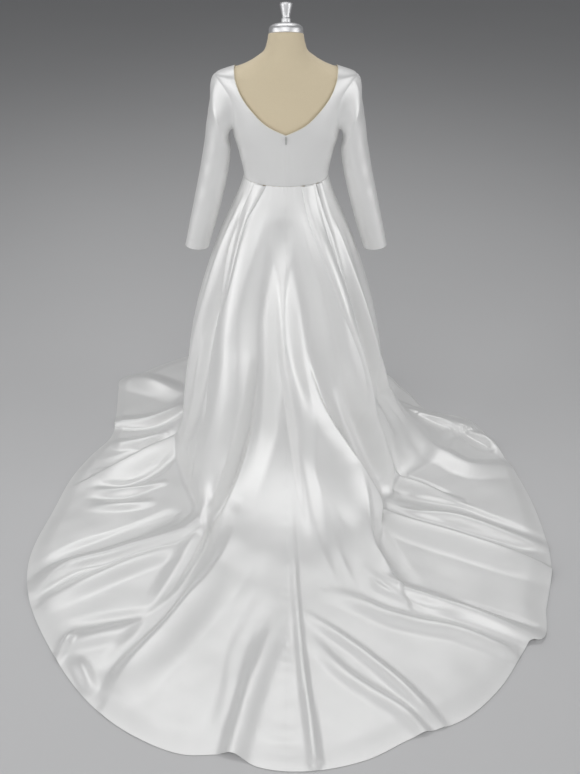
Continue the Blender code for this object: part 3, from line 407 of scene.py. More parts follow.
def cloth(name, points, normals, faces, skin):
    """A closed thin sheet round a grid of points, with a rim along every free edge."""
    points = points.reshape(-1, 3)
    normals = normals.reshape(-1, 3)
    count = len(points)
    both = np.concatenate([points + normals * THICK / 2, points - normals * THICK / 2])
    edges = np.concatenate([faces[:, [k, (k + 1) % 4]] for k in range(4)])
    keys = np.sort(edges, axis=1)
    _, first, uses = np.unique(keys[:, 0] * count + keys[:, 1], return_index=True, return_counts=True)
    free = edges[first[uses == 1]]
    rim = np.stack([free[:, 1], free[:, 0], free[:, 0] + count, free[:, 1] + count], axis=1)
    shell = np.concatenate([faces, faces[:, ::-1] + count, rim])
    obj = new_mesh(name, both, shell.tolist(), skin)
    ends = np.zeros(2 * len(obj.data.edges), int)
    obj.data.edges.foreach_get("vertices", ends)
    ends = np.sort(ends.reshape(-1, 2), axis=1)
    borders = np.sort(np.concatenate([free, free + count]), axis=1)
    sharp = np.isin(ends[:, 0] * 2 * count + ends[:, 1], borders[:, 0] * 2 * count + borders[:, 1])
    obj.data.attributes.new("sharp_edge", "BOOLEAN", "EDGE").data.foreach_set("value", sharp)
    return obj


def waviness(points, size):
    """A quiet unevenness over x and y, within about the given size."""
    total = 0
    for length, direction, start in WAVES:
        turn = math.radians(direction)
        along = points[..., 0] * math.cos(turn) + points[..., 1] * math.sin(turn)
        bend = 0.8 * np.sin(9 * points[..., 1] + start)
        total = total + np.sin(2 * math.pi * along / length + start + bend) * length
    return total / sum(wave[0] for wave in WAVES) * size * 2


def body_point(turn, height, front):
    """A point on the bodice: turn is measured from the middle of its panel, in radians."""
    half = smooth(BODY[:, BODY_HEIGHT], BODY[:, BODY_HALF_WIDTH], height)
    depth = smooth(BODY[:, BODY_HEIGHT], BODY[:, BODY_FRONT if front else BODY_BACK], height)
    y = depth * np.cos(turn) * (1 if front else -1)
    return np.stack([half * np.sin(turn), y, height + 0 * turn], axis=-1)


def body_normal(turn, height, front):
    step = 1e-4
    across = body_point(turn + step, height, front) - body_point(turn - step, height, front)
    up = body_point(turn, height + step, front) - body_point(turn, height - step, front)
    return unit(np.cross(across, up) * (-1 if front else 1))


def neck_at(neckline, share):
    """Turn and height on a neckline, from the V point at 0 to the strap at 1."""
    distances, heights = np.array(neckline).T
    along = np.linspace(0, 1, len(distances))
    height = smooth(along, heights, share)
    half = smooth(BODY[:, BODY_HEIGHT], BODY[:, BODY_HALF_WIDTH], height)
    turn = np.arcsin(np.clip(smooth(along, distances, share) / half, 0, 1))
    return np.where(share >= 1, math.pi / 2, turn), height


def armhole_at(share):
    """Turn and height on the armhole, from the armpit at 0 to the shoulder at 1."""
    turns, heights = np.array(ARMHOLE).T
    along = np.linspace(0, 1, len(turns))
    return np.radians(smooth(along, turns, share)), smooth(along, heights, share)


def armhole_steps(count):
    return 1 - (1 - np.linspace(0, 1, count)) ** 1.35


def bodice_half(neckline, front):
    """The right half of a bodice panel as grids of points and normals, from its waist up to its shoulder."""
    lower = np.linspace(0, 1, BODICE_ROWS_BELOW)
    upper = armhole_steps(BODICE_ROWS_ABOVE)[1:]
    columns = np.linspace(0, 1, BODICE_COLUMNS)
    v_point = neckline[0][1]
    neck_turn, neck_height = neck_at(neckline, upper)
    left_turn = np.concatenate([0 * lower, neck_turn])
    left_height = np.concatenate([WAIST_Z + (v_point - WAIST_Z) * lower, neck_height])
    hole_turn, hole_height = armhole_at(upper)
    right_turn = np.concatenate([0 * lower + math.pi / 2, hole_turn])
    right_height = np.concatenate([WAIST_Z + (ARMPIT_Z - WAIST_Z) * lower, hole_height])
    turn = left_turn[:, None] + (right_turn - left_turn)[:, None] * columns
    level = np.concatenate([lower, 1 - upper])[:, None] * (columns - columns**2)
    height = left_height[:, None] + (right_height - left_height)[:, None] * (columns + level)
    points = body_point(turn, height, front)
    normals = body_normal(turn, height, front)
    below = len(lower)
    inside = ease(0, 0.10, columns) * (1 - ease(0.9, 1.0, columns))
    rows_inside = ease(0, 0.05, np.linspace(0, 1, len(turn)))[:, None]
    drag = 0
    for size, waves_up, waves_round, start, turn_at, turn_spread, height_at, height_spread in BODICE_DRAGS:
        off = ((turn - turn_at) / turn_spread) ** 2
        drag = drag + size * np.sin(height * waves_up + turn * waves_round + start) * np.exp(
            -off - ((height - height_at) / height_spread) ** 2
        )
    pucker = 0.00035 * np.sin(turn * 58 + 1.7 * np.sin(turn * 11)) * np.exp(-(height - WAIST_Z) / 0.010)
    zip_tape = 0
    if not front:
        zip_tape = 0.0009 * (1 - ease(0.009, 0.013, points[..., 0])) * (1 - ease(v_point - 0.03, v_point, height))
    points = points + normals * (drag * inside * rows_inside + zip_tape + pucker)[..., None]
    normals[0, :, 2] = 0
    back = 1 if front else -1
    normals[:below, -1, 1] = 0
    normals[-1, :, 1] = 0
    points[:below, -1, 1] = back * SEAM / 2
    points[-1, :, 1] = back * SEAM / 2
    normals = unit(normals)
    normals[:below, 0, 0] = 0
    return points, unit(normals), below


def mirrored(points, normals, faces):
    return points * (-1, 1, 1), normals * (-1, 1, 1), faces[:, ::-1]


def bodice_back(name, side, skin):
    points, normals, below = bodice_half(BACK_NECK, front=False)
    points[:below, 0, 0] = SEAM / 2
    faces = grid_faces(*points.shape[:2])[:, ::-1]
    if side < 0:
        points, normals, faces = mirrored(points, normals, faces)
    return cloth(name, points, normals, faces, skin)


def bodice_front(name, skin):
    """Both halves in one piece, sharing the points down the middle of the front."""
    points, normals, below = bodice_half(FRONT_NECK, front=True)
    rows, columns = points.shape[:2]
    count = rows * columns
    points = points.reshape(-1, 3)
    normals = normals.reshape(-1, 3)
    faces = grid_faces(rows, columns)
    shared = np.arange(2 * count)
    for r in range(below):
        shared[count + r * columns] = r * columns
    both = np.concatenate([faces, shared[faces[:, ::-1] + count]])
    kept, order = np.unique(both, return_inverse=True)
    all_points = np.concatenate([points, points * (-1, 1, 1)])[kept]
    all_normals = np.concatenate([normals, normals * (-1, 1, 1)])[kept]
    return cloth(name, all_points, all_normals, order.reshape(-1, 4), skin)


def sleeve(name, side, skin):
    """A set-in sleeve: its head follows the armhole a seam away, then flattened rings lead to the cuff."""
    steps = armhole_steps(SLEEVE_STEPS_AT_HEAD)
    share = np.concatenate([steps[::-1], steps[1:-1]])
    angles = np.pi * np.concatenate([1 - steps[::-1], 1 + steps[1:-1]])
    around = len(share)
    armpit = len(steps) - 1
    turn, height = armhole_at(share)
    head = np.empty((around, 3))
    head_normal = np.empty((around, 3))
    away = np.empty((around, 3))
    for front in (False, True):
        chosen = (np.arange(around) > armpit) == front
        normal = body_normal(turn, height, front)
        nearer = armhole_at(np.clip(share - 0.01, 0, 1))
        further = armhole_at(np.clip(share + 0.01, 0, 1))
        along = body_point(*further, front) - body_point(*nearer, front)
        outward = unit(np.cross(along, normal) * (1 if front else -1))
        head[chosen] = body_point(turn, height, front)[chosen]
        head_normal[chosen] = normal[chosen]
        away[chosen] = outward[chosen]
    for k in (0, armpit):
        head_normal[k, 1] = 0
        away[k, 1] = 0
        head[k, 1] = 0
    head_normal = unit(head_normal)
    away = unit(away)
    away = away * np.sign((away * (ARMHOLE_MIDDLE - head)).sum(axis=1, keepdims=True))
    under = (1 - ease(0.0, 0.4, share))[:, None]
    lead = unit(away * (1 - under) + LEAD_UNDER * under)
    head = head + away * (2.6 * SEAM + 1.2 * WALL / 2 * under)
    lead = unit(lead + LEAD_OVER * (1 - under))
    index = np.arange(len(SLEEVE))
    cuff = len(SLEEVE) - 1

    def hanging_ring(place):
        x_out, z_out, x_in, z_in, behind, before = [float(smooth(index, row, place)) for row in SLEEVE.T]
        middle = np.array([(x_out + x_in) / 2, CUFF_FORWARD * place / cuff, (z_out + z_in) / 2])
        across = np.array([(x_out - x_in) / 2, 0, (z_out - z_in) / 2])
        ring = middle + np.cos(angles)[:, None] * across
        ring[:, 1] -= np.sin(angles) * np.where(np.arange(around) <= armpit, behind, before)
        drags = 0
        for size, waves, start, at, spread, round_waves, round_start, turning in SLEEVE_DRAGS:
            tall = size * math.sin(place * waves + start) * math.exp(-(((place - at) / spread) ** 2))
            drags = drags + tall * np.cos(angles * round_waves + round_start + turning * place)
        hem = -CUFF_HEM_DEPTH * math.exp(-(((1 - place / cuff) - CUFF_HEM_AT) / CUFF_HEM_SPREAD) ** 2)
        return ring + unit(ring - middle) * (drags + hem)[:, None]

    joined = hanging_ring(FIRST_HANGING)
    onward = (hanging_ring(FIRST_HANGING + 0.1) - joined) / 0.1
    reach = np.linalg.norm(joined - head, axis=1, keepdims=True)
    rings = []
    for s in np.linspace(0, 1, SLEEVE_RINGS_AT_HEAD)[:-1]:
        start = (2 * s**3 - 3 * s**2 + 1) * head + (s**3 - 2 * s**2 + s) * lead * reach
        rings.append(start + (3 * s**2 - 2 * s**3) * joined + (s**3 - s**2) * onward)
    rings += [hanging_ring(place) for place in np.linspace(FIRST_HANGING, cuff, SLEEVE_RINGS)]
    points = np.array(rings)
    normals = corner_normals(points, closed=True)
    faces = grid_faces(*points.shape[:2], closed=True)
    outward = unit(points - points.mean(axis=1, keepdims=True))
    if (normals * outward).sum() < 0:
        normals = -normals
    normals[-1, :, 2] = 0
    normals = unit(normals)
    if side < 0:
        return cloth(name, *mirrored(points, normals, faces[:, ::-1]), skin)
    return cloth(name, points, normals, faces[:, ::-1], skin)


def hang_point(bearing, height):
    half, behind, before = (smooth(HANG[:, 0], HANG[:, k], height) for k in (1, 2, 3))
    depth = np.where(np.cos(bearing) > 0, behind, before)
    return np.stack([half * np.sin(bearing), -depth * np.cos(bearing), height + 0 * bearing], axis=-1)


def skirt_base(bearing, down):
    """The skirt without folds: bearing in degrees from the back, down from 0 at the waist to 3 at the hem."""
    bearing = (np.asarray(bearing, float) + 180) % 360 - 180
    turn = np.radians(bearing)
    top, foot = HANG[-1, 0], HANG[0, 0]
    hanging = hang_point(turn, top + (foot - top) * np.clip(down, 0, 1))
    edge = hang_point(turn, foot + 0 * turn)
    slope = unit(edge - hang_point(turn, foot + 0.03 + 0 * turn))
    out = np.stack([np.sin(turn), -np.cos(turn), 0 * turn], axis=-1)
    rest = np.array([0, 0, WALL / 2])
    radius, pull_down, pull_in = (smooth(LAND[:, 0], LAND[:, k], bearing)[..., None] for k in (1, 2, 3))
    landing = radius * out + rest
    hem = smooth(HEM[:, 0], HEM[:, 1], bearing)[..., None] * out + rest
    flat_edge = edge * (1, 1, 0) + rest
    first = edge + slope * pull_down
    second = landing + (flat_edge - landing) * pull_in
    s = np.clip(down - 1, 0, 1)[..., None]
    curve = (1 - s) ** 3 * edge + 3 * (1 - s) ** 2 * s * first + 3 * (1 - s) * s**2 * second + s**3 * landing
    lying = landing + (hem - landing) * np.clip(down - 2, 0, 1)[..., None]
    down = np.asarray(down)[..., None]
    return np.where(down <= 1, hanging, np.where(down <= 2, curve, lying))


def base_normal(bearing, down):
    across = skirt_base(bearing + 0.05, down) - skirt_base(bearing - 0.05, down)
    low, high = np.clip(down - 0.01, 0, 3), np.clip(down + 0.01, 0, 3)
    along = skirt_base(bearing, high) - skirt_base(bearing, low)
    return unit(np.cross(along, across))


def ridge(distance, crease):
    """A fold's section, 1 at its line and 0 at its width: round, or with a crease along its crest."""
    s = np.clip(distance, 0, 1)
    return (1 - crease) * (1 - s**2) ** 2 + crease * (1 - s) ** 2 * (1 + s)


def hanging_folds(bearing, down, reach):
    """How far the hanging folds stand out, and how far their crests lean along the skirt."""
    total = np.zeros(bearing.shape)
    moved = np.zeros(bearing.shape)
    for line, *sizes in HANGING_FOLDS:
        lower, higher, lean = np.array(sizes) / MM_PER_METRE
        places, bearings, heights = np.array(line).T
        heights = heights / MM_PER_METRE
        apart = (bearing - smooth(places, bearings, down) + 180) % 360 - 180
        distance = np.radians(apart) * reach
        tall = smooth(places, heights, down)
        start, end = places[0], places[-1]
        tall = tall * ease(start - 0.06, start + 0.02, down) * (1 - ease(end, end + 0.12, down))
        width = np.where(distance < 0, lower, higher) * (0.55 + 0.45 * ease(0, 0.6, down))
        section = ridge(np.abs(distance) / width, HANGING_CREASE if heights.max() > 0 else 0.0)
        total += tall * section
        moved += lean * section**1.5 * tall / np.abs(heights).max()
    return total, moved


def floor_fold(points, line, left, right, lean):
    """One fold of the train: how far it stands up at each point, and how far its crest leans over."""
    index = np.arange(len(line))
    fine = np.linspace(0, len(line) - 1, 8 * (len(line) - 1) + 1)
    path = np.stack([smooth(index, line[:, k], fine) for k in range(3)], axis=1)
    reach = max(left, right)
    low, high = path[:, :2].min(axis=0) - reach, path[:, :2].max(axis=0) + reach
    near = np.where(((points > low) & (points < high)).all(axis=1))[0]
    height = np.zeros(len(points))
    moved = np.zeros((len(points), 2))
    if not len(near):
        return height, moved
    here = points[near]
    best = np.full(len(near), 9.0)
    tall = np.zeros(len(near))
    side = np.zeros((len(near), 2))
    for (x0, y0, h0), (x1, y1, h1) in zip(path, path[1:]):
        step = np.array([x1 - x0, y1 - y0])
        offset = here - (x0, y0)
        along = np.clip((offset @ step) / (step @ step), 0, 1)
        apart = offset - along[:, None] * step
        distance = np.hypot(apart[:, 0], apart[:, 1])
        on_left = step[0] * apart[:, 1] - step[1] * apart[:, 0] > 0
        share = distance / np.where(on_left, left, right)
        nearer = share < best
        best = np.where(nearer, share, best)
        tall = np.where(nearer, h0 + (h1 - h0) * along, tall)
        leftward = np.array([-step[1], step[0]]) / np.hypot(*step)
        side = np.where(nearer[:, None], leftward, side)
    section = ridge(best, FLOOR_CREASE if line[:, 2].max() > 0 else 0.0)
    height[near] = FLOOR_HEIGHTS * tall * section
    most = np.abs(line[:, 2]).max()
    moved[near] = side * (lean * section**1.5 * np.abs(tall) / most)[:, None]
    return height, moved


def skirt_surface(bearing, down):
    """The skirt with all its folds, apart from the sewn pleats."""
    base = skirt_base(bearing, down)
    square = base_normal(bearing, down)
    upright = ease(1.3, 1.74, down)[..., None]
    upward = unit(square * (1 - upright) + np.array([0, 0, 1]) * upright)
    reach = np.hypot(base[..., 0], base[..., 1])
    flat = base[..., :2].reshape(-1, 2)
    risen = np.zeros(len(flat))
    moved = np.zeros((len(flat), 2))
    for line, *sizes in FLOOR_FOLDS:
        height, shift = floor_fold(flat, np.array(line) / MM_PER_METRE, *np.array(sizes) / MM_PER_METRE)
        risen += height
        moved += shift
    on_floor = ease(1.3, 1.9, down)
    to_hem = 1 - ease(2.86, 3.0, down)
    level = TRAIN_LIFT * ease(1.5, 2.0, down) * (0.25 + 0.75 * to_hem)
    quiet = waviness(base * (1, 1, 0), WAVES_SIZE) * ease(0.1, 0.6, down) * (0.2 + 0.8 * to_hem)
    risen = risen.reshape(down.shape) * on_floor + level
    stands_out, leans = hanging_folds(bearing, down, reach)
    turn = np.radians(bearing)
    sideways = np.stack([np.cos(turn), np.sin(turn), 0 * turn], axis=-1) * leans[..., None]
    result = base + square * (stands_out + quiet)[..., None] + sideways + upward * risen[..., None]
    result[..., :2] += moved.reshape(base[..., :2].shape) * on_floor[..., None]
    lowest = THICK / 2 + 0.0001
    above = result[..., 2] - lowest
    softness = 0.0012 + 0.016 * ease(1.15, 1.5, down) * (1 - ease(1.95, 2.4, down))
    raised = 0.5 * (above + np.sqrt(above**2 + softness**2))
    result[..., 2] = lowest + raised - 0.0006 * ease(0.0, 0.002, above)
    return result


def pleat_columns(edges, side, depth_at_waist, depth, rows):
    """Columns across a pleat, which turns back under itself at its edge and opens into a ridge lower down."""
    index = np.arange(len(FOLDED_OUT))
    fine = np.linspace(0, len(index) - 1, PLEAT_COLUMNS)
    tables = (FOLDED_DEPTH, FOLDED_ALONG, FOLDED_OUT, OPEN_ALONG, OPEN_OUT)
    curves = [smooth(index, table, fine) for table in tables]
    folded_depth, folded_along, folded_out, open_along, open_out = curves
    along, out = [], []
    for down in rows:
        opened = ease(0.8, 1.3, down)
        deep = depth_at_waist + (depth - depth_at_waist) * ease(0.0, 0.3, down)
        folded = folded_along + folded_depth * deep * (1 - ease(0.45, 0.8, down))
        faded = 1 - ease(1.2, 1.9, down)
        along.append(side * (folded * (1 - opened) + open_along * opened))
        out.append((folded_out * (1 - opened) + open_out * opened) * PLEAT_HEIGHT * faded)
    bearing = smooth(PLEAT_DOWN, edges, rows)
    return bearing, np.array(along), np.array(out)


def skirt_panel(name, first, last, pleats, skin):
    """A skirt panel between two seams, with its pleats folded in."""
    rows = np.concatenate(
        [
            np.linspace(0, 1, ROWS_HANGING, endpoint=False),
            np.linspace(1, 2, ROWS_CURVE, endpoint=False),
            np.linspace(2, 3, ROWS_LYING),
        ]
    )
    spans = sorted((PLEATS[pleat] for pleat in pleats), key=lambda span: span[0][0])
    starts = np.full(len(rows), float(first))
    bearing_parts, out_parts, ends = [], [], []
    for edges, side, depth_at_waist, depth in spans:
        bearing, along, out = pleat_columns(edges, side, depth_at_waist, depth, rows)
        reach = np.hypot(*np.moveaxis(skirt_base(bearing, rows)[:, :2], -1, 0))
        turned = bearing[:, None] + np.degrees(along / reach[:, None])
        if side < 0:
            turned, out = turned[:, ::-1], out[:, ::-1]
        ends.append((turned, out))
    for turned, out in ends + [(np.full((len(rows), 1), float(last)), np.zeros((len(rows), 1)))]:
        count = max(3, round(abs(np.median(turned[:, 0]) - np.median(starts)) / COLUMN_STEP))
        shares = np.arange(count) / count
        if bearing_parts:
            shares = shares[1:]
        bearing_parts.append(starts[:, None] + (turned[:, :1] - starts[:, None]) * shares)
        out_parts.append(np.zeros((len(rows), len(shares))))
        bearing_parts.append(turned)
        out_parts.append(out)
        starts = turned[:, -1]
    bearing = np.concatenate(bearing_parts, axis=1)
    out = np.concatenate(out_parts, axis=1)
    down = np.repeat(rows[:, None], bearing.shape[1], axis=1)
    points = skirt_surface(bearing, down)
    outward = base_normal(bearing, down)
    outward[0, :, 2] = 0
    outward = unit(outward)
    pucker = 0.0004 * np.sin(bearing * 1.05 + 1.5 * np.sin(bearing * 0.21)) * np.exp(-down / 0.02)
    beside = np.minimum(np.abs(bearing - first), np.abs(bearing - last))
    seam = 0.0006 * np.sin(down * 71 + 2.2 * np.sin(down * 13)) * np.exp(-beside / 1.1)
    seam = seam * ease(0.02, 0.1, down) * (1 - ease(2.9, 3, down))
    points = points + outward * (out + pucker + seam)[..., None]
    normals = corner_normals(points)
    if (normals * outward).sum() < 0:
        normals = -normals
    for column, shift in ((0, 1), (-1, -1)):
        along = np.gradient(points[:, column], axis=0)
        points[:, column] += unit(np.cross(normals[:, column], along)) * shift * SEAM / 2
    normals[0, :, 2] = 0
    normals = unit(normals)
    return cloth(name, points, normals, grid_faces(*points.shape[:2]), skin), points


def lathe(name, profile, sides, skin, origin=(0, 0, 0), tilt=0.0):
    """A turned piece from radius and height, about an axis that tilts towards the front."""
    radius, height = np.array(profile).T
    turn = 2 * math.pi * np.arange(sides) / sides
    x, y = radius[:, None] * np.cos(turn), radius[:, None] * np.sin(turn)
    z = height[:, None] + 0 * turn
    cos, sin = math.cos(tilt), math.sin(tilt)
    turned = np.stack([x, y * cos + z * sin, z * cos - y * sin], axis=-1)
    return capped_tube(name, turned + np.array(origin), skin)


def rounded(profile, radius, steps=4):
    """A profile with each inner corner rounded."""
    profile = [np.array(point, float) for point in profile]
    result = [profile[0]]
    for before, here, after in zip(profile, profile[1:], profile[2:]):
        into, out_of = before - here, after - here
        cut = min(radius, 0.45 * np.linalg.norm(into), 0.45 * np.linalg.norm(out_of))
        start, end = here + unit(into) * cut, here + unit(out_of) * cut
        for k in range(steps + 1):
            s = k / steps
            result.append((1 - s) ** 2 * start + 2 * s * (1 - s) * here + s * s * end)
    result.append(profile[-1])
    return result


def dress_form(name, skin):
    """A limbless torso: the body's rings moved in from the cloth, with a flat foot and a tilted neck top."""
    around = 144
    turns = 2 * math.pi * np.arange(around) / around
    upper = np.linspace(1.305, FORM_TOP_Z, 60)
    heights = np.concatenate([[0.782, 0.786, 0.795], np.linspace(0.81, 1.30, 50), upper])
    rings = []
    for height in heights:
        front = np.cos(turns) < 0
        side_turn = np.where(front, math.pi - turns, turns)
        level = np.full(around, height)
        ring, square = (
            np.where(front[:, None], at(side_turn, level, True), at(side_turn, level, False))
            for at in (body_point, body_normal)
        )
        inset = FORM_CLEARANCE + (FORM_AT_SHOULDER - FORM_CLEARANCE) * ease(1.26, 1.34, height)
        inset = inset * (1 - ease(1.37, 1.40, height))
        ring = ring - square * inset
        ring[:, 2] -= ring[:, 1] * ease(1.38, FORM_TOP_Z, height) * math.tan(NECK_TILT)
        rings.append(ring)
    rings[0] = rings[0] * (0.93, 0.93, 1)
    rings[0][:, 2] = FORM_FOOT_Z
    return capped_tube(name, np.array(rings), skin)


def neck_edge(name, neckline, front, skin):
    """The narrow turned edge of the facing that shows along a neckline, as a thin roll."""
    turn, height = neck_at(neckline, np.linspace(0, 1, 90))
    path = body_point(turn, height, front)
    square = body_normal(turn, height, front)
    full = np.concatenate([path[::-1] * (-1, 1, 1), path[1:]])
    square = np.concatenate([square[::-1] * (-1, 1, 1), square[1:]])
    forward = unit(np.gradient(full, axis=0))
    up = unit(np.cross(square, forward))
    if up[len(up) // 2, 2] < 0:
        up = -up
    middle = full + up * EDGE_ABOVE_CLOTH - square * EDGE_INSIDE_CLOTH
    turn = (2 * math.pi * np.arange(EDGE_SIDES) / EDGE_SIDES)[None, :, None]
    rings = middle[:, None] + EDGE_RADIUS * (np.cos(turn) * up[:, None] + np.sin(turn) * square[:, None])
    return capped_tube(name, rings, skin, order=1)


def nodes_of(name, colour, roughness, metallic=0.0):
    """A new material, its node tree, its shader and its texture coordinates."""
    made = bpy.data.materials.new(name)
    made.use_nodes = True
    tree = made.node_tree
    shader = tree.nodes["Principled BSDF"]
    shader.inputs["Base Color"].default_value = colour
    shader.inputs["Roughness"].default_value = roughness
    shader.inputs["Metallic"].default_value = metallic
    coordinates = tree.nodes.new("ShaderNodeTexCoord")
    return made, tree, shader, coordinates


def noise(tree, coordinates, scale, detail=2.0, stretch=(1, 1, 1)):
    mapping = tree.nodes.new("ShaderNodeMapping")
    mapping.inputs["Scale"].default_value = stretch
    tree.links.new(coordinates.outputs["Object"], mapping.inputs["Vector"])
    texture = tree.nodes.new("ShaderNodeTexNoise")
    texture.inputs["Scale"].default_value = scale
    texture.inputs["Detail"].default_value = detail
    tree.links.new(mapping.outputs["Vector"], texture.inputs["Vector"])
    return texture.outputs["Fac"]


def wave(tree, coordinates, scale, direction):
    texture = tree.nodes.new("ShaderNodeTexWave")
    texture.bands_direction = direction
    texture.inputs["Scale"].default_value = scale
    texture.inputs["Distortion"].default_value = 0.6
    tree.links.new(coordinates.outputs["Object"], texture.inputs["Vector"])
    return texture.outputs["Fac"]


def add_bump(tree, shader, fac, distance, strength, before=None):
    node = tree.nodes.new("ShaderNodeBump")
    node.inputs["Distance"].default_value = distance
    node.inputs["Strength"].default_value = strength
    tree.links.new(fac, node.inputs["Height"])
    if before is not None:
        tree.links.new(before.outputs["Normal"], node.inputs["Normal"])
    tree.links.new(node.outputs["Normal"], shader.inputs["Normal"])
    return node


def vary_roughness(tree, shader, fac, low, high):
    node = tree.nodes.new("ShaderNodeMapRange")
    node.inputs["To Min"].default_value = low
    node.inputs["To Max"].default_value = high
    tree.links.new(fac, node.inputs["Value"])
    tree.links.new(node.outputs["Result"], shader.inputs["Roughness"])


def vary_colour(tree, shader, fac, dark, light):
    node = tree.nodes.new("ShaderNodeMix")
    node.data_type = "RGBA"
    node.inputs[6].default_value = dark
    node.inputs[7].default_value = light
    tree.links.new(fac, node.inputs[0])
    tree.links.new(node.outputs[2], shader.inputs["Base Color"])


def satin(name, light=(0.90, 0.90, 0.893, 1), dark=(0.87, 0.87, 0.862, 1)):
    """Heavy satin: a close weave of fine floats, a broad soft gloss and a slight unevenness in it."""
    made, tree, shader, at = nodes_of(name, light, 0.43, 0.30)
    vary_colour(tree, shader, noise(tree, at, 9.0, 3.0), dark, light)
    vary_roughness(tree, shader, noise(tree, at, 30.0), 0.40, 0.46)
    soft = add_bump(tree, shader, noise(tree, at, 16.0, 1.0), 0.0012, 0.35)
    floats = add_bump(tree, shader, wave(tree, at, 520.0, "Z"), 0.00003, 0.25, soft)
    cross = add_bump(tree, shader, wave(tree, at, 610.0, "X"), 0.00003, 0.25, floats)
    add_bump(tree, shader, noise(tree, at, 900.0, 2.0, (1, 1, 4)), 0.00004, 0.3, cross)
    shader.inputs["Specular IOR Level"].default_value = 0.62
    shader.inputs["Sheen Weight"].default_value = 0.08
    shader.inputs["Sheen Roughness"].default_value = 0.4
    return made


def linen(name):
    """Plain beige linen, drawn tight over a hard shell."""
    made, tree, shader, at = nodes_of(name, (0.76, 0.65, 0.46, 1), 0.85)
    threads = noise(tree, at, 260.0, 3.0, (1, 1, 3))
    vary_colour(tree, shader, threads, (0.73, 0.625, 0.44, 1), (0.79, 0.68, 0.485, 1))
    warp = add_bump(tree, shader, wave(tree, at, 330.0, "Z"), 0.00012, 0.5)
    weft = add_bump(tree, shader, wave(tree, at, 330.0, "X"), 0.00012, 0.5, warp)
    add_bump(tree, shader, noise(tree, at, 700.0, 2.0), 0.0001, 0.4, weft)
    shader.inputs["Sheen Weight"].default_value = 0.15
    return made


def brushed_steel(name):
    made, tree, shader, at = nodes_of(name, (0.80, 0.80, 0.81, 1), 0.42, 0.85)
    grain = noise(tree, at, 420.0, 2.0, (1, 1, 0.05))
    vary_roughness(tree, shader, grain, 0.34, 0.50)
    add_bump(tree, shader, grain, 0.00005, 0.3)
    return made


def pale_enamel(name):
    made, tree, shader, at = nodes_of(name, (0.60, 0.60, 0.59, 1), 0.35, 0.5)
    vary_roughness(tree, shader, noise(tree, at, 300.0), 0.30, 0.42)
    add_bump(tree, shader, noise(tree, at, 1500.0, 1.0), 0.00003, 0.3)
    return made


def black_paint(name):
    made, tree, shader, at = nodes_of(name, (0.045, 0.045, 0.05, 1), 0.5)
    vary_roughness(tree, shader, noise(tree, at, 60.0, 4.0), 0.40, 0.62)
    add_bump(tree, shader, noise(tree, at, 900.0, 2.0), 0.00006, 0.5)
    return made


def studio_floor(name):
    made, tree, shader, at = nodes_of(name, (0.64, 0.64, 0.645, 1), 0.75)
    patches = noise(tree, at, 1.2, 3.0)
    vary_colour(tree, shader, patches, (0.63, 0.63, 0.635, 1), (0.66, 0.66, 0.665, 1))
    return made


def area_light(name, at, towards, size, power, spread=180):
    data = bpy.data.lights.new(name, "AREA")
    data.shape = "RECTANGLE"
    data.size, data.size_y = size
    data.energy = power
    data.spread = math.radians(spread)
    obj = placed(name, data)
    obj.location = at
    direction = np.array(towards, float) - np.array(at, float)
    flat = math.hypot(direction[0], direction[1])
    obj.rotation_euler = (math.atan2(flat, -direction[2]), 0, math.atan2(-direction[0], direction[1]))


def camera():
    data = bpy.data.cameras.new("photo_camera")
    data.lens = CAMERA_LENS
    data.sensor_width = 36
    data.shift_x = AXIS_SHIFT
    data.clip_end = 50
    obj = placed("photo_camera", data)
    obj.location = CAMERA_AT
    obj.rotation_euler = (math.pi / 2 - CAMERA_PITCH, 0, 0)
    bpy.context.scene.camera = obj


def on_body(piece, node=None):
    """Make a piece ride the body that all but the pull tab belong to, in place of a node if one is named."""
    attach(piece, BODY_NAME)
    if node:
        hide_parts(node)


def worn(piece, node):
    on_body(piece, node)


def give(node, skin):
    for slot in node_object(node).material_slots:
        slot.material = skin


def node_object(node):
    found = bpy.data.objects.get(node)
    if found is None:
        found = next(obj for obj in bpy.data.objects if obj.name.split(".")[0] == node)
    return found


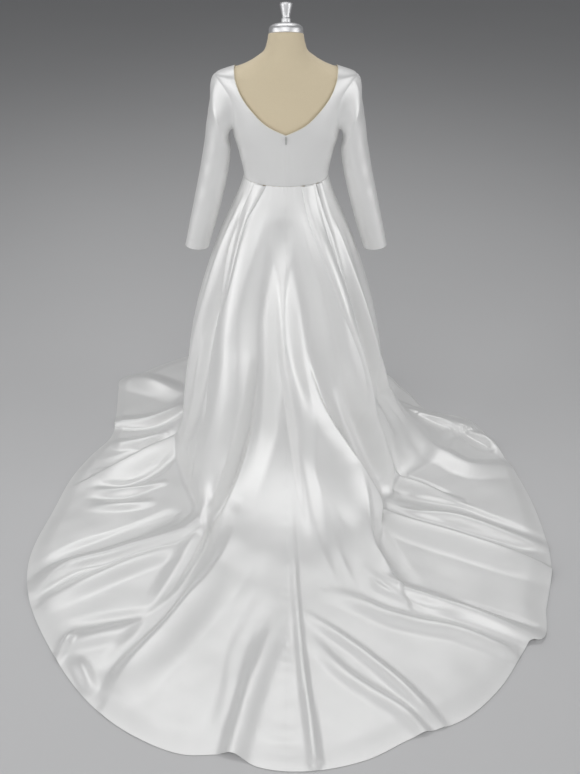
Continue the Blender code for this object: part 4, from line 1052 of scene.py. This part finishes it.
def main():
    white = satin("satin_white")
    cream = satin("satin_facing", (0.90, 0.87, 0.76, 1), (0.88, 0.84, 0.72, 1))
    beige = linen("linen_beige")
    steel = brushed_steel("steel_brushed")
    dark = black_paint("steel_black")

    form = dress_form("torso_cover", beige)
    on_body(form, "form_torso")
    cap_z = FORM_TOP_Z + 0.0004
    cap = lathe("neck_cap_turned", rounded(CAP_PROFILE, 0.0035), 96, steel, (0, 0, cap_z), NECK_TILT)
    on_body(cap, "form_neck_cap")
    up = CAP_TOP + NODE_SEAM
    foot = (0, up * math.sin(NECK_TILT), cap_z + up * math.cos(NECK_TILT))
    finial = lathe("finial_turned", rounded(FINIAL_PROFILE, 0.002), 72, steel, foot, NECK_TILT)
    on_body(finial, "form_finial")
    give("stand_pole", steel)
    give("stand_base", dark)
    enamel = pale_enamel("steel_enamelled")
    for node in ("zip_slider", "zip_pull_tab"):
        give(node, enamel)

    back_edge = neck_edge("facing_edge_back", BACK_NECK, False, cream)
    on_body(back_edge)
    front_edge = neck_edge("facing_edge_front", FRONT_NECK, True, cream)
    on_body(front_edge)

    front = bodice_front("bodice_front_satin", white)
    worn(front, "bodice_front")
    left = bodice_back("bodice_back_left_satin", -1, white)
    worn(left, "bodice_back_left")
    right = bodice_back("bodice_back_right_satin", 1, white)
    worn(right, "bodice_back_right")
    for side, word in ((-1, "left"), (1, "right")):
        piece = sleeve(f"sleeve_{word}_satin", side, white)
        worn(piece, f"sleeve_{word}")
    panels = (
        ("skirt_back_left", SIDE_SEAM_LEFT, 0, ["back_left"]),
        ("skirt_back_right", 0, SIDE_SEAM_RIGHT, ["back_right_inner", "back_right_outer"]),
        ("skirt_front", SIDE_SEAM_RIGHT, 360 + SIDE_SEAM_LEFT, ["front_right", "front_left"]),
    )
    corners = [(-14, -14, 0), (14, -14, 0), (14, 14, 0), (-14, 14, 0)]
    floor = new_mesh("studio_floor", corners, [(0, 1, 2, 3)], studio_floor("floor_grey"))
    floor.location.z = -0.0002
    for name, first, last, pleats in panels:
        piece, points = skirt_panel(name + "_satin", first, last, pleats, white)
        worn(piece, name)

    world = bpy.data.worlds.new("studio")
    world.use_nodes = True
    background = world.node_tree.nodes["Background"]
    background.inputs["Color"].default_value = (0.72, 0.73, 0.75, 1)
    background.inputs["Strength"].default_value = 0.20
    bpy.context.scene.world = world
    bpy.context.scene.view_settings.view_transform = "Standard"
    area_light("key", (-0.4, -3.4, 3.2), (0, -0.3, 0.65), (3.6, 2.8), 56)
    for word, x in (("left", -3.0), ("right", 3.0)):
        area_light(f"fill_{word}", (x, -1.5, 1.5), (0, -0.2, 0.8), (3.2, 2.2), 12.5, 90)
    area_light("overhead", (-0.2, 1.5, 3.9), (0, 0.2, 0.4), (3.0, 2.0), 44)
    camera()


main()
